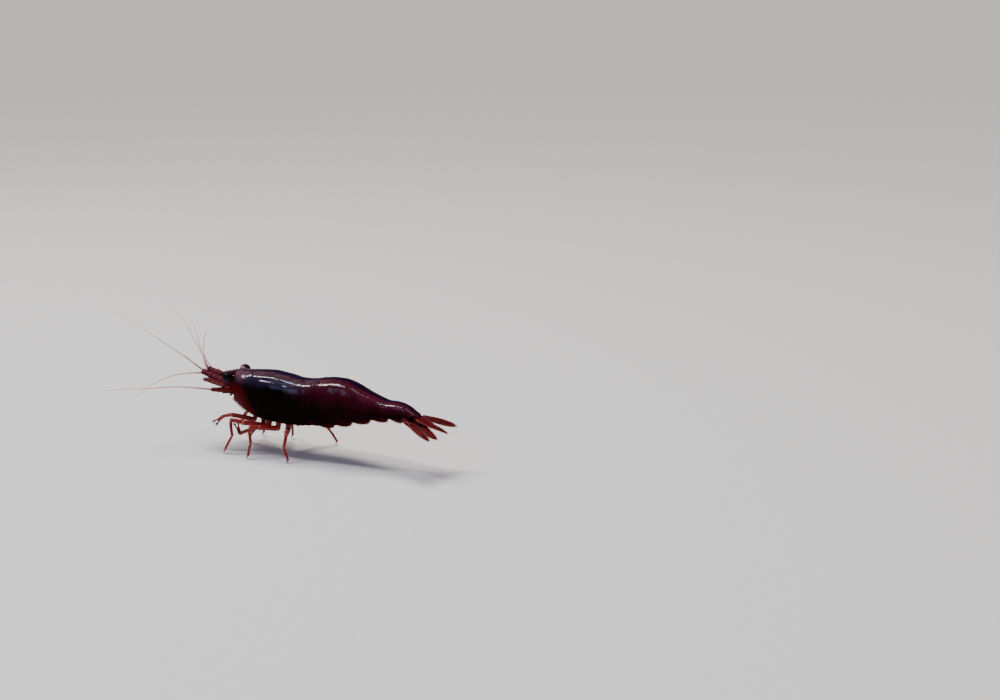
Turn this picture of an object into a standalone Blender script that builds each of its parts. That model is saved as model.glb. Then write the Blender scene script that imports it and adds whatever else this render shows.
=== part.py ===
"""Aquarium shrimp: a life-size still model of a dwarf freshwater shrimp standing on its legs.

Metres, +Z up, head towards -X, the animal's left side towards -Y, floor at Z = 0.
Sizes below are millimetres times MM. The body is laid out about the middle of the
carapace's rear edge, and one empty lifts it to its height over the floor.
"""
import math

import bmesh
import bpy
import numpy as np
from mathutils import Matrix, Vector

MM = 0.001

# Where the middle of the carapace's rear edge stands over the floor, and off the box's centre.
STAND_AT = (2.47 * MM, 0.46 * MM, 4.91 * MM)

GAP = 0.05 * MM             # thin cut between neighbouring pieces
LIMB_RADIUS = 0.25 * MM     # legs and feelers are half a millimetre thick
EYE_RADIUS = 0.46 * MM
BLADE_THICKNESS = 0.5 * MM  # tail fan, antennal scales and swimmerets
BLADE_ROOT = 0.40           # a blade's width at its ends, as a share of its full width
TAIL_SWING = 0.8 * MM       # how far the tail end is bent to the left
TAIL_REACH = 12.0 * MM

# Shape of the body's cross section.
WIDEST_HEIGHT = 0.52        # where it is widest, from the lower edge to the back
BACK_BOW = 0.9              # under 1 the back is fuller than a half ellipse
SIDE_BOW = 0.86
TUCK_ENDS = (-2.0 * MM, 2.0 * MM)
SHELL_TUCK = (0.36, 0.16)   # how far the lower edge pulls in, at TUCK_ENDS
HOLLOW_TUCK = (0.30, 0.16)
HOLLOW_ENDS = (0.0, 8.0 * MM)
HOLLOW_HEIGHT = (0.95 * MM, 0.62 * MM)  # hollow under the body, at HOLLOW_ENDS
SHELL_WALL = (0.62 * MM, 0.42 * MM)     # shell beside the hollow, at HOLLOW_ENDS

# Body stations along X in millimetres: x, top, lower edge, half width.
BODY_STATIONS = (
    (-7.2, 1.92, 0.35, 0.86),
    (-6.2, 2.14, -0.45, 1.22),
    (-5.2, 2.22, -1.12, 1.52),
    (-4.0, 2.33, -1.62, 1.74),
    (-2.7, 2.35, -1.86, 1.86),
    (-1.4, 2.18, -1.93, 1.86),
    (0.0, 1.96, -1.88, 1.76),
    (1.1, 2.04, -1.80, 1.70),
    (2.0, 2.22, -1.70, 1.68),
    (3.1, 2.35, -1.55, 1.68),
    (4.2, 2.31, -1.32, 1.62),
    (5.2, 2.04, -1.08, 1.48),
    (6.0, 1.68, -0.88, 1.34),
    (7.0, 1.31, -0.66, 1.16),
    (8.1, 0.99, -0.48, 0.98),
    (9.5, 0.95, -0.38, 0.84),
    (10.2, 0.80, -0.50, 0.78),
    (10.9, 0.43, -0.66, 0.70),
    (11.8, -0.10, -0.98, 0.62),
)

# Cuts across the body: x on the back, shift at the widest part, shift at the lower edge (mm).
CARAPACE_FRONT = (-6.40, -0.05, 0.30)
CARAPACE_REAR = (0.05, 0.95, 0.50)
ABDOMEN_CUTS = (
    (1.85, -0.15, -0.40),
    (4.00, 0.15, 0.45),
    (6.00, -0.05, -0.15),
    (7.80, -0.15, -0.30),
    (9.66, 0.0, 0.0),
    (11.60, -0.75, -1.45),
)

EYE_CENTRE = (-6.72, 1.45, 1.76)     # on the left side (mm)
EYESTALK_ROOT = (-6.94, 0.46, 1.40)
THORAX_ENDS = (-6.50 * MM, 0.55 * MM)
KEEL_DEPTH = 0.12 * MM      # how far the breast stands below the shell's lower edges

# Rostrum and face: x, z, half height, half width (mm).
ROSTRUM_STATIONS = ((-6.56, 1.86, 0.27, 0.27), (-7.51, 1.665, 0.225, 0.255), (-8.45, 1.47, 0.18, 0.24))
HEAD_STATIONS = ((-6.54, 0.58, 0.54, 1.00), (-6.90, 0.58, 0.52, 0.94), (-7.18, 0.58, 0.42, 0.78))

# Tail fan about the bent tail's own direction. Places in it are forward, out and down (mm);
# the right side is spread a little wider and held higher than the left.
FAN_HUB = Vector((11.62, -0.70, -0.28)) * MM
FAN_YAW, FAN_PITCH = -10.0, 21.0
TELSON = ((0.02, 0.0, 0.0), (1.52, 0.0, 0.0), 0.72)  # root, tip, width
UROPODS = {
    "left": {
        "base": ((-0.84, 0.76, 0.84), (-0.70, 0.80, 0.78), (-0.48, 0.88, 0.64)),
        "inner": ((-0.30, 0.60, 0.48), (2.30, 0.86, 0.24), 0.60),
        "outer": ((-0.30, 1.04, 0.44), (2.12, 1.86, 0.18), 0.66),
    },
    "right": {
        "base": ((-0.84, 0.76, 0.80), (-0.70, 0.80, 0.73), (-0.48, 0.88, 0.55)),
        "inner": ((-0.28, 0.60, 0.44), (2.22, 0.90, 0.33), 0.60),
        "outer": ((-0.30, 1.04, 0.28), (2.26, 1.88, -0.12), 0.76),
    },
}

# Swimmerets: x, distance out from the middle plane, width, length along the body (mm).
SWIMMERETS = ((1.35, 0.44, 0.70, 1.30), (3.05, 0.44, 0.70, 1.30), (4.80, 0.42, 0.66, 1.30),
              (6.60, 0.33, 0.50, 1.20), (8.30, 0.22, 0.34, 1.00))
SWIMMERET_ROOT = 0.10 * MM  # above the shell's lower edge
SWIMMERET_TIP = 0.34 * MM   # below it

SHELL_DARK = (0.045, 0.008, 0.016)
SHELL_RED = (0.16, 0.014, 0.022)
LIMB_RED = (0.24, 0.020, 0.020)
FEELER_PALE = (0.46, 0.22, 0.17)
EYE_BLACK = (0.006, 0.005, 0.007)


def clear_scene():
    for item in list(bpy.data.objects):
        bpy.data.objects.remove(item, do_unlink=True)


def material(name, colour, roughness):
    finish = bpy.data.materials.new(name)
    finish.use_nodes = True
    shader = finish.node_tree.nodes["Principled BSDF"]
    shader.inputs["Base Color"].default_value = (*colour, 1.0)
    shader.inputs["Roughness"].default_value = roughness
    shader.inputs["Metallic"].default_value = 0.0
    return finish


def smooth_table(table, where):
    """Read every column of a table as a smooth curve of its first column."""
    table = np.asarray(table, dtype=float)
    where = np.atleast_1d(np.asarray(where, dtype=float))
    key = table[:, 0]
    slope = np.gradient(table, key, axis=0)
    low = np.clip(np.searchsorted(key, where) - 1, 0, len(key) - 2)
    span = key[low + 1] - key[low]
    part = np.clip((where - key[low]) / span, 0.0, 1.0)[:, None]
    rise = slope[low] * span[:, None]
    rise_next = slope[low + 1] * span[:, None]
    start, end = table[low], table[low + 1]
    square, cube = part**2, part**3
    return ((2 * cube - 3 * square + 1) * start + (cube - 2 * square + part) * rise
            + (3 * square - 2 * cube) * end + (cube - square) * rise_next)


def smooth_route(points, samples):
    """A smooth curve through a few hand-chosen points, read at even steps."""
    points = np.asarray(points, dtype=float)
    run = np.concatenate(([0.0], np.cumsum(np.linalg.norm(np.diff(points, axis=0), axis=1))))
    table = np.column_stack((run, points))
    return smooth_table(table, np.linspace(0.0, run[-1], samples))[:, 1:]


def swing(x):
    """Sideways bend of the body towards the tail."""
    return -TAIL_SWING * (np.clip(x, 0.0, None) / TAIL_REACH) ** 3


def station(x):
    """Top, lower edge and half width of the body at x, in metres."""
    return smooth_table(np.array(BODY_STATIONS) * MM, x)[:, 1:].T


def arch_point(x, around, top, bottom, half, tuck):
    """A point on an arch over the body: around runs from -1 at the left lower edge to 1."""
    lean = np.abs(around) * 2.0
    upper = np.clip(lean, 0.0, 1.0) * math.pi / 2
    lower = np.clip(lean - 1.0, 0.0, 1.0) * math.pi / 2
    middle = bottom + WIDEST_HEIGHT * (top - bottom)
    z = np.where(lean <= 1.0,
                 middle + (top - middle) * np.cos(upper) ** BACK_BOW,
                 middle - (middle - bottom) * np.sin(lower))
    out = half * np.where(lean <= 1.0, np.sin(upper) ** SIDE_BOW, 1.0 - tuck * (1.0 - np.cos(lower)))
    return np.stack((x, swing(x) + np.sign(around) * out, z), axis=-1)


def outer_skin(x, around):
    """The body's outer surface; the shell tucks in less along the abdomen."""
    top, bottom, half = station(x)
    tuck = np.interp(x, TUCK_ENDS, SHELL_TUCK)
    return arch_point(x, around, top, bottom, half, tuck)


def inner_skin(x, around, room=0.0):
    """The hollow under the body, where legs and swimmerets hang; room makes it narrower."""
    top, bottom, half = station(x)
    roof = bottom + np.interp(x, HOLLOW_ENDS, HOLLOW_HEIGHT) - room
    wide = half - np.interp(x, HOLLOW_ENDS, SHELL_WALL) - room
    tuck = np.interp(x, TUCK_ENDS, HOLLOW_TUCK)
    return arch_point(x, around, roof, bottom, wide, tuck)


def cut_line(cut, around):
    """X of a cut across the body, from its back to its lower edge."""
    back, side, edge = (value * MM for value in cut)
    lean = np.abs(around) * 2.0
    side_part = np.sin(np.clip(lean, 0.0, 1.0) * math.pi / 2) ** 2
    edge_part = np.clip(lean - 1.0, 0.0, 1.0) ** 2
    return back + side * side_part + (edge - side) * edge_part


def mesh_object(name, rings, faces, finish, collection, frame):
    mesh = bpy.data.meshes.new(name)
    mesh.from_pydata([tuple(point) for point in rings], [], faces)
    shell = bmesh.new()
    shell.from_mesh(mesh)
    bmesh.ops.recalc_face_normals(shell, faces=shell.faces)
    bmesh.ops.triangulate(shell, faces=shell.faces)
    shell.to_mesh(mesh)
    shell.free()
    mesh.shade_smooth()
    mesh.set_sharp_from_angle(angle=math.radians(50.0))
    return place(bpy.data.objects.new(name, mesh), finish, collection, frame)


def place(item, finish, collection, frame):
    item.data.materials.append(finish)
    collection.objects.link(item)
    item.parent = frame
    return item


def end_strips(first, across):
    """Faces that close a ring, each between facing points of its two sides."""
    strips = []
    for low in range((across - 1) // 2):
        high = across - 1 - low
        corners = dict.fromkeys((low, low + 1, high - 1, high))
        strips.append([first + corner for corner in corners])
    return strips


def loft(name, rings, finish, collection, frame):
    """A closed solid through closed rings of points."""
    rings = np.asarray(rings)
    count, across = rings.shape[:2]
    faces = end_strips(0, across) + end_strips((count - 1) * across, across)
    for ring in range(count - 1):
        for point in range(across):
            nearby = (point + 1) % across
            faces.append([ring * across + point, ring * across + nearby,
                          (ring + 1) * across + nearby, (ring + 1) * across + point])
    return mesh_object(name, rings.reshape(-1, 3), faces, finish, collection, frame)


def arch_solid(name, outer, inner, finish, collection, frame):
    """A solid between an outer and an inner arch, each a grid of points along and around."""
    count, across = outer.shape[:2]
    points = np.concatenate((outer.reshape(-1, 3), inner.reshape(-1, 3)))
    shift = count * across
    faces = []
    for ring in range(count - 1):
        for point in range(across - 1):
            corner = ring * across + point
            quad = [corner, corner + 1, corner + 1 + across, corner + across]
            faces.append(quad)
            faces.append([index + shift for index in reversed(quad)])
        for edge in (ring * across, ring * across + across - 1):
            faces.append([edge, edge + across, edge + across + shift, edge + shift])
    for ring in (0, count - 1):
        for point in range(across - 1):
            corner = ring * across + point
            faces.append([corner, corner + 1, corner + 1 + shift, corner + shift])
    return mesh_object(name, points, faces, finish, collection, frame)


def body_arch(name, front, rear, rings, finish, collection, frame, around_steps=18):
    """One shell ring of the body between two cuts, open underneath."""
    around = np.linspace(-1.0, 1.0, around_steps + 1)
    along = np.linspace(0.0, 1.0, rings)
    start = cut_line(front, around) + GAP / 2
    end = cut_line(rear, around) - GAP / 2
    outer = [outer_skin(start + (end - start) * step, around) for step in along]
    inner = [inner_skin(start + (end - start) * step, around) for step in along]
    return arch_solid(name, np.array(outer), np.array(inner), finish, collection, frame)


def blade(name, base, tip, side, width, finish, collection, frame, steps=7, widest=0.62):
    """A leaf-shaped plate: side points across it, and widest says where it is broadest."""
    corners = 8
    corner_reach = 1.0 / math.cos(math.pi / corners)
    base, tip, side = (Vector(value) for value in (base, tip, side))
    forward = tip - base
    across = (side - forward * side.dot(forward) / forward.length_squared).normalized()
    normal = forward.cross(across).normalized()
    rings = []
    for step in range(steps + 1):
        part = step / steps
        swell = math.sin(math.pi * part ** (math.log(0.5) / math.log(widest)))
        half = width / 2 * (BLADE_ROOT + (1.0 - BLADE_ROOT) * swell)
        middle = base + forward * part
        ring = []
        for corner in range(corners):
            turn = 2 * math.pi * (corner + 0.5) / corners
            ring.append(middle + across * half * math.cos(turn) * corner_reach
                        + normal * BLADE_THICKNESS / 2 * math.sin(turn) * corner_reach)
        rings.append([tuple(point) for point in ring])
    return loft(name, rings, finish, collection, frame)


def limb(name, points, finish, collection, frame, radii=None):
    """A round rod through the given points, as a bevelled poly curve with filled caps."""
    curve = bpy.data.curves.new(name, "CURVE")
    curve.dimensions = "3D"
    curve.bevel_depth = LIMB_RADIUS
    curve.bevel_resolution = 2
    curve.use_fill_caps = True
    curve.resolution_u = 1
    spline = curve.splines.new("POLY")
    spline.points.add(len(points) - 1)
    for index, point in enumerate(points):
        spline.points[index].co = (*point, 1.0)
        spline.points[index].radius = 1.0 if radii is None else radii[index]
    return place(bpy.data.objects.new(name, curve), finish, collection, frame)


def ball(name, centre, radius, finish, collection, frame):
    shell = bmesh.new()
    bmesh.ops.create_uvsphere(shell, u_segments=14, v_segments=9, radius=radius)
    mesh = bpy.data.meshes.new(name)
    shell.to_mesh(mesh)
    shell.free()
    mesh.shade_smooth()
    item = place(bpy.data.objects.new(name, mesh), finish, collection, frame)
    item.location = centre
    return item


def at_side(points, side):
    """Millimetre points drawn for the left side, set on either side of the body."""
    return [(x * MM, -side * y * MM, z * MM) for x, y, z in points]


def oval_rings(stations, sides):
    """Rings of a form that runs along X: each station is x, z, half height, half width in millimetres."""
    turns = (np.arange(sides) + 0.5) * 2 * math.pi / sides
    rings = []
    for x, z, high, wide in stations:
        ring = np.column_stack((np.full(sides, x), wide * np.cos(turns), z + high * np.sin(turns)))
        rings.append(ring * MM)
    return rings


def build_carapace(finishes, collection, frame):
    body_arch("carapace", CARAPACE_FRONT, CARAPACE_REAR, 12, finishes["shell"], collection, frame, 22)
    loft("rostrum", oval_rings(ROSTRUM_STATIONS, 8), finishes["shell"], collection, frame)


def build_thorax(finishes, collection, frame):
    """The underside between the carapace's edges, where the legs are rooted."""
    rings = []
    around = np.linspace(-1.0, 1.0, 13)
    for x in np.linspace(*THORAX_ENDS, 10):
        line = np.full_like(around, x)
        roof = inner_skin(line, around, GAP)
        keel = roof[[-1, 0]].mean(axis=0) - (0.0, 0.0, KEEL_DEPTH)
        rings.append(np.vstack((roof, keel)))
    loft("thorax", rings, finishes["limb"], collection, frame)


def build_head(finishes, collection, frame):
    """The face in front of the carapace, which carries the eyes and the feelers."""
    loft("head", oval_rings(HEAD_STATIONS, 16), finishes["limb"], collection, frame)


def build_abdomen(finishes, collection, frame):
    cuts = (CARAPACE_REAR, *ABDOMEN_CUTS)
    for number in range(1, 6):
        finish = finishes["shell" if number < 5 else "tail"]
        body_arch(f"abdomen_{number}", cuts[number - 1], cuts[number], 6, finish, collection, frame)
    around = np.linspace(-1.0, 1.0, 19)
    start = cut_line(cuts[5], around) + GAP / 2
    end = cut_line(cuts[6], around) - GAP / 2
    rings = [outer_skin(start + (end - start) * step, around) for step in np.linspace(0.0, 1.0, 6)]
    loft("abdomen_6", rings, finishes["tail"], collection, frame)


def build_tail_fan(finishes, collection, frame):
    """Telson and four uropods, fanned about the bent tail's own direction."""
    turn = Matrix.Rotation(math.radians(FAN_YAW), 3, "Z")
    turn = turn @ Matrix.Rotation(math.radians(FAN_PITCH), 3, "Y")
    across = turn @ Vector((0.0, 1.0, 0.0))

    def spot(place, side):
        forward, out, down = place
        return FAN_HUB + turn @ Vector((forward, side * out, -down)) * MM

    root, tip, width = TELSON
    blade("telson", spot(root, 1), spot(tip, 1), across, width * MM,
          finishes["tail"], collection, frame, widest=0.30)
    for side, word in ((-1, "left"), (1, "right")):
        routes = UROPODS[word]
        limb(f"uropod_{word}_base", [spot(place, side) for place in routes["base"]],
             finishes["tail"], collection, frame)
        for name in ("inner", "outer"):
            root, tip, width = routes[name]
            blade(f"uropod_{word}_{name}", spot(root, side), spot(tip, side), across, width * MM,
                  finishes["tail"], collection, frame, widest=0.66)


def build_swimmerets(finishes, collection, frame):
    """Five pairs of paddles folded back under the abdomen."""
    for number, (x, spread, width, length) in enumerate(SWIMMERETS, start=1):
        lower_edge = station(x * MM)[1][0]
        bend = swing(x * MM)
        for side, word in ((1, "left"), (-1, "right")):
            y = bend - side * spread * MM
            root = (x * MM, y, lower_edge + SWIMMERET_ROOT)
            tip = ((x + length) * MM, y, lower_edge - SWIMMERET_TIP)
            blade(f"swimmeret_{number}_{word}", root, tip, (0.0, 1.0, 0.0), width * MM,
                  finishes["limb"], collection, frame, steps=4)


def build_eyes(finishes, collection, frame):
    for side, word in ((1, "left"), (-1, "right")):
        centre, inner = (Vector(point) for point in at_side((EYE_CENTRE, EYESTALK_ROOT), side))
        ball(f"eye_{word}", centre, EYE_RADIUS, finishes["eye"], collection, frame)
        reach = (centre - inner).normalized()
        outer = centre - reach * (EYE_RADIUS + GAP)
        limb(f"eyestalk_{word}", [inner, outer], finishes["limb"], collection, frame, radii=(1.0, 1.1))


# Head feelers, drawn for the left side in millimetres unless a side is named.
ANTENNULE_BASE = ((-7.28, 0.48, 0.84), (-8.10, 0.50, 1.12), (-9.10, 0.48, 1.46), (-9.86, 0.44, 1.68))
ANTENNA_BASE = ((-7.26, 0.98, 0.36), (-7.80, 1.24, 0.34), (-8.42, 1.36, 0.34))
ANTENNAL_SCALE = ((-7.35, 1.30, 0.86), (-9.45, 1.12, 1.28))
SCALE_WIDTH = 0.66 * MM
SCALE_LEAN = (0.0, 0.9, -0.35)  # the way the scale's breadth points, on the left side
FEELER_ROUTES = {
    "antennule_left_upper": ((-10.12, -0.50, 1.98), (-11.63, -0.60, 2.93), (-13.26, -0.60, 3.76),
                             (-16.66, -0.60, 5.42), (-18.98, -0.60, 6.55)),
    "antennule_left_lower": ((-10.20, -0.46, 1.40), (-11.32, -1.00, 1.50), (-12.46, -1.60, 1.30),
                             (-13.51, -2.20, 0.84), (-14.26, -2.70, 0.31), (-15.50, -3.60, -0.72)),
    "antennule_right_upper": ((-9.98, 0.26, 2.06), (-10.30, 0.52, 2.72), (-10.62, 0.90, 3.40),
                              (-10.70, 1.20, 4.20), (-10.60, 1.50, 5.00)),
    "antennule_right_lower": ((-10.26, 0.68, 1.58), (-10.80, 1.05, 2.50), (-11.35, 1.40, 3.40),
                              (-11.80, 1.75, 4.40), (-12.30, 2.05, 5.40)),
    "antenna_left": ((-8.52, -1.42, 0.36), (-9.60, -1.85, 0.55), (-10.96, -2.50, 0.70),
                     (-13.28, -4.00, 0.71), (-14.98, -5.50, 0.85), (-16.09, -7.00, 1.01)),
    "antenna_right": ((-8.52, 1.42, 0.36), (-9.70, 1.62, 0.85), (-11.20, 2.10, 1.95), (-12.85, 3.00, 3.15),
                      (-14.36, 4.00, 4.50), (-16.21, 5.00, 5.46), (-18.03, 6.00, 6.38)),
}


def build_feelers(finishes, collection, frame):
    for side, word in ((1, "left"), (-1, "right")):
        limb(f"antennule_{word}", smooth_route(at_side(ANTENNULE_BASE, side), 6), finishes["limb"],
             collection, frame, radii=(1.1, 1.15, 1.1, 1.1, 1.05, 1.0))
        limb(f"antenna_base_{word}", at_side(ANTENNA_BASE, side), finishes["limb"],
             collection, frame, radii=(1.1, 1.0, 1.0))
        base, tip = at_side(ANTENNAL_SCALE, side)
        lean = (SCALE_LEAN[0], SCALE_LEAN[1], side * SCALE_LEAN[2])
        blade(f"antennal_scale_{word}", base, tip, lean, SCALE_WIDTH, finishes["limb"], collection, frame)
    for name, route in FEELER_ROUTES.items():
        points = smooth_route(np.array(route) * MM, 14)
        limb(name, points, finishes["feeler"], collection, frame)


# Legs: x, distance out from the middle plane, z in millimetres, root first. The feet are
# short upright ends on the floor, FLOOR below the body's own origin.
FLOOR = -STAND_AT[2] / MM
ANKLE = -4.5
LEG_ROUTES = {
    "maxilliped_left": ((-5.05, 0.40, -1.62), (-5.60, 0.44, -1.32), (-6.25, 0.42, -0.92),
                        (-6.85, 0.38, -0.42)),
    "maxilliped_right": ((-5.05, 0.40, -1.62), (-5.60, 0.44, -1.32), (-6.25, 0.42, -0.92),
                         (-6.80, 0.38, -0.38)),
    "leg_1_left": ((-4.50, 0.46, -1.84), (-4.70, 0.66, -2.16), (-6.55, 1.35, -1.72), (-7.35, 1.55, -1.90),
                   (-8.14, 1.65, -2.55)),
    "leg_1_right": ((-4.50, 0.46, -1.84), (-4.70, 0.66, -2.16), (-6.35, 1.30, -1.95), (-7.00, 1.40, -2.60),
                    (-7.35, 1.30, -3.35)),
    "leg_2_left": ((-3.80, 0.42, -2.04), (-3.90, 0.52, -2.62), (-4.95, 0.95, -3.05), (-5.95, 1.15, -3.45),
                   (-6.35, 1.05, -2.55)),
    "leg_2_right": ((-3.80, 0.42, -2.04), (-3.90, 0.52, -2.62), (-4.90, 1.00, -3.00), (-5.70, 1.10, -3.55),
                    (-6.20, 0.80, -4.20)),
    "leg_3_left": ((-3.05, 0.62, -2.14), (-3.15, 0.85, -2.55), (-5.20, 1.75, -2.15), (-6.25, 2.05, -1.95),
                   (-5.98, 2.35, -3.30), (-6.62, 2.62, -4.56)),
    "leg_3_right": ((-3.05, 0.62, -2.14), (-3.15, 0.85, -2.55), (-5.00, 1.85, -2.10), (-5.85, 2.20, -2.05),
                    (-5.65, 2.60, -3.40), (-6.00, 2.85, -4.60)),
    "leg_4_left": ((-2.15, 0.62, -2.20), (-2.20, 0.90, -2.62), (-3.40, 2.10, -2.30), (-4.05, 2.55, -2.25),
                   (-3.75, 2.95, -3.50), (-3.95, 3.15, -4.60)),
    "leg_4_right": ((-2.15, 0.62, -2.20), (-2.20, 0.90, -2.62), (-3.00, 2.15, -2.30), (-3.50, 2.60, -2.25),
                    (-3.05, 3.00, -3.50), (-3.15, 3.20, -4.60)),
    "leg_5_left": ((-1.25, 0.62, -2.22), (-1.20, 0.90, -2.62), (-0.75, 1.85, -2.45), (-0.60, 2.25, -2.60),
                   (-0.62, 2.70, -3.60), (-0.10, 2.95, -4.60)),
    "leg_5_right": ((-1.25, 0.62, -2.22), (-1.20, 0.90, -2.62), (-0.30, 2.05, -2.35), (0.20, 2.45, -2.40),
                    (0.85, 2.80, -3.50), (1.50, 3.00, -4.60)),
}


def build_legs(finishes, collection, frame):
    for name, route in LEG_ROUTES.items():
        points = list(route)
        if points[-1][2] <= ANKLE:
            points.append((points[-1][0], points[-1][1], FLOOR))
        side = 1 if name.endswith("left") else -1
        limb(name, at_side(points, side), finishes["limb"], collection, frame)


def main():
    clear_scene()
    collection = bpy.data.collections.new("aquarium_shrimp")
    bpy.context.scene.collection.children.link(collection)
    frame = bpy.data.objects.new("stand_height", None)
    frame.location = STAND_AT
    collection.objects.link(frame)
    finishes = {
        "shell": material("shell", SHELL_DARK, 0.25),
        "tail": material("tail_shell", SHELL_RED, 0.3),
        "limb": material("limb", LIMB_RED, 0.4),
        "feeler": material("feeler", FEELER_PALE, 0.45),
        "eye": material("eye", EYE_BLACK, 0.1),
    }
    build_carapace(finishes, collection, frame)
    build_thorax(finishes, collection, frame)
    build_head(finishes, collection, frame)
    build_abdomen(finishes, collection, frame)
    build_tail_fan(finishes, collection, frame)
    build_swimmerets(finishes, collection, frame)
    build_eyes(finishes, collection, frame)
    build_feelers(finishes, collection, frame)
    build_legs(finishes, collection, frame)


main()
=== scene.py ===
import math

import bpy
import mathutils
import numpy as np
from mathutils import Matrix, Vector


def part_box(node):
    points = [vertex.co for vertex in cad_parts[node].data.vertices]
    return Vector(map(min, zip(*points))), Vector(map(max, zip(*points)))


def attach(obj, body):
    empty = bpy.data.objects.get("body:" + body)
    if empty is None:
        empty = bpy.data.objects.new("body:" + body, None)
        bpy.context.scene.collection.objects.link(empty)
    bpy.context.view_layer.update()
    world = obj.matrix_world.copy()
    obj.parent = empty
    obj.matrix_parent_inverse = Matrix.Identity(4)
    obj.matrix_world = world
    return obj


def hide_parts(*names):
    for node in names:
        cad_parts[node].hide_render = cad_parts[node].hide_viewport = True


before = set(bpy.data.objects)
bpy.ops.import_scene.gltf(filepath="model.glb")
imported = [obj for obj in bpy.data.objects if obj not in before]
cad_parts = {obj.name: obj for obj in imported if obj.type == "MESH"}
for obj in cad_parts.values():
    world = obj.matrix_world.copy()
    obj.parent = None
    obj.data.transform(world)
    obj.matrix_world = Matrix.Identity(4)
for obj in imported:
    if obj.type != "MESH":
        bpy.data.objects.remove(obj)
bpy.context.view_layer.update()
print("frame loaded:", len(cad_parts), "nodes")

# The body is laid out in millimetres about the middle of the carapace's rear edge: head
# towards -X, left side towards -Y. The left eye's place in the frame says where that is.
mm = 0.001
leftEye = (-6.72, -1.45, 1.76)
bodyAt = np.mean([tuple(corner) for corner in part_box("eye_left")], axis=0) - np.array(leftEye) * mm
floorAt = -bodyAt[2] / mm
sides = (("left", -1.0), ("right", 1.0))
upwards, crosswise = (0.0, 0.0, 1.0), (0.0, 1.0, 0.0)
fullTurn = 2 * math.pi


def unit(vectors):
    # each vector over its length
    return vectors / np.maximum(np.linalg.norm(vectors, axis=-1, keepdims=True), 1e-12)


def ease(value, start, end):
    # 3t^2 - 2t^3, with t running from 0 at start to 1 at end
    t = np.clip((value - start) / (end - start), 0.0, 1.0)
    return t * t * (3.0 - 2.0 * t)


def bell(value, middle, spread):
    # e to the power of minus the squared distance from the middle, counted in spreads
    return np.exp(-((value - middle) / spread) ** 2)


def ripples(points, pitch, seed):
    # the mean of seven plane waves of nearly one pitch, each in a drawn direction and phase
    draw = np.random.default_rng(seed)
    ways = unit(draw.normal(size=(7, 3))) * draw.uniform(0.7, 1.3, (7, 1)) * fullTurn / pitch
    return np.sin(points @ ways.T + draw.uniform(0.0, fullTurn, 7)).mean(axis=-1)


def smoothTable(table, where):
    # a cubic through each pair of rows, with slopes taken from the rows beside them
    table = np.asarray(table, float)
    key, slope = table[:, 0], np.gradient(table, table[:, 0], axis=0)
    shape, where = np.shape(where), np.ravel(where)
    low = np.clip(np.searchsorted(key, where) - 1, 0, len(key) - 2)
    span = (key[low + 1] - key[low])[:, None]
    t = np.clip((where - key[low])[:, None] / span, 0.0, 1.0)
    read = ((2 * t**3 - 3 * t**2 + 1) * table[low] + (t**3 - 2 * t**2 + t) * slope[low] * span
            + (3 * t**2 - 2 * t**3) * table[low + 1] + (t**3 - t**2) * slope[low + 1] * span)
    return np.moveaxis(read[:, 1:].reshape(*shape, -1), -1, 0)


def smoothRoute(points, count):
    # the same cubics through points in space, read at even steps of the length between them
    points = np.asarray(points, float)
    run = np.r_[0.0, np.cumsum(np.linalg.norm(np.diff(points, axis=0), axis=1))]
    return smoothTable(np.column_stack((run, points)), np.linspace(0.0, run[-1], count)).T


def circle(count):
    # cosines and sines of even turns, each as a column
    turn = np.arange(count)[:, None] * fullTurn / count
    return np.cos(turn), np.sin(turn)


def gridFaces(alongAt, aroundAt, closed):
    # Four-cornered faces of a grid, and each corner's place in it as (along, around).
    # aroundAt has one value more than the grid has columns when the grid is closed.
    columns = len(aroundAt) - closed
    row, column = np.divmod(np.arange((len(alongAt) - 1) * (len(aroundAt) - 1)), len(aroundAt) - 1)
    corners = ((row, column), (row, column + 1), (row + 1, column + 1), (row + 1, column))
    faces = np.stack([r * columns + c % columns for r, c in corners], axis=1)
    return faces, np.stack([np.column_stack((alongAt[r], aroundAt[c])) for r, c in corners], axis=1)


def solid(points, quads, quadFlow, triangles=np.zeros((0, 3), int), triangleFlow=np.zeros((0, 3, 2))):
    # A closed surface, its faces turned outwards by the sign of the volume between them and the origin.
    faces = {"quads": quads, "quadFlow": quadFlow, "triangles": triangles, "triangleFlow": triangleFlow}
    a, b, c = points[np.concatenate((quads[:, :3], quads[:, (0, 2, 3)], triangles))].swapaxes(0, 1)
    if np.sum(a * np.cross(b, c)) < 0.0:
        faces = {key: value[:, ::-1] for key, value in faces.items()}
    return {"points": points, **faces}


def closedRings(rings, startPole, endPole, alongAt, aroundAt=None):
    # Rings of points joined one to the next, with a fan to a pole at each end.
    count, across = rings.shape[:2]
    aroundAt = np.linspace(0.0, 1.0, across + 1) if aroundAt is None else aroundAt
    pairs = np.stack((np.arange(across), (np.arange(across) + 1) % across))
    pairsAt = np.stack((aroundAt[:-1], aroundAt[1:]))
    fans, fanFlow = [], []
    for end, order in ((0, -1), (1, 1)):
        ring = pairs[::order] + end * (count - 1) * across
        fans.append(np.column_stack((np.full(across, count * across + end), *ring)))
        at = np.stack((pairsAt.mean(axis=0), *pairsAt[::order]), axis=1)
        fanFlow.append(np.stack((np.full(at.shape, alongAt[-end]), at), axis=-1))
    return solid(np.concatenate((rings.reshape(-1, 3), [startPole, endPole])),
                 *gridFaces(alongAt, aroundAt, True), np.concatenate(fans), np.concatenate(fanFlow))


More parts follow.
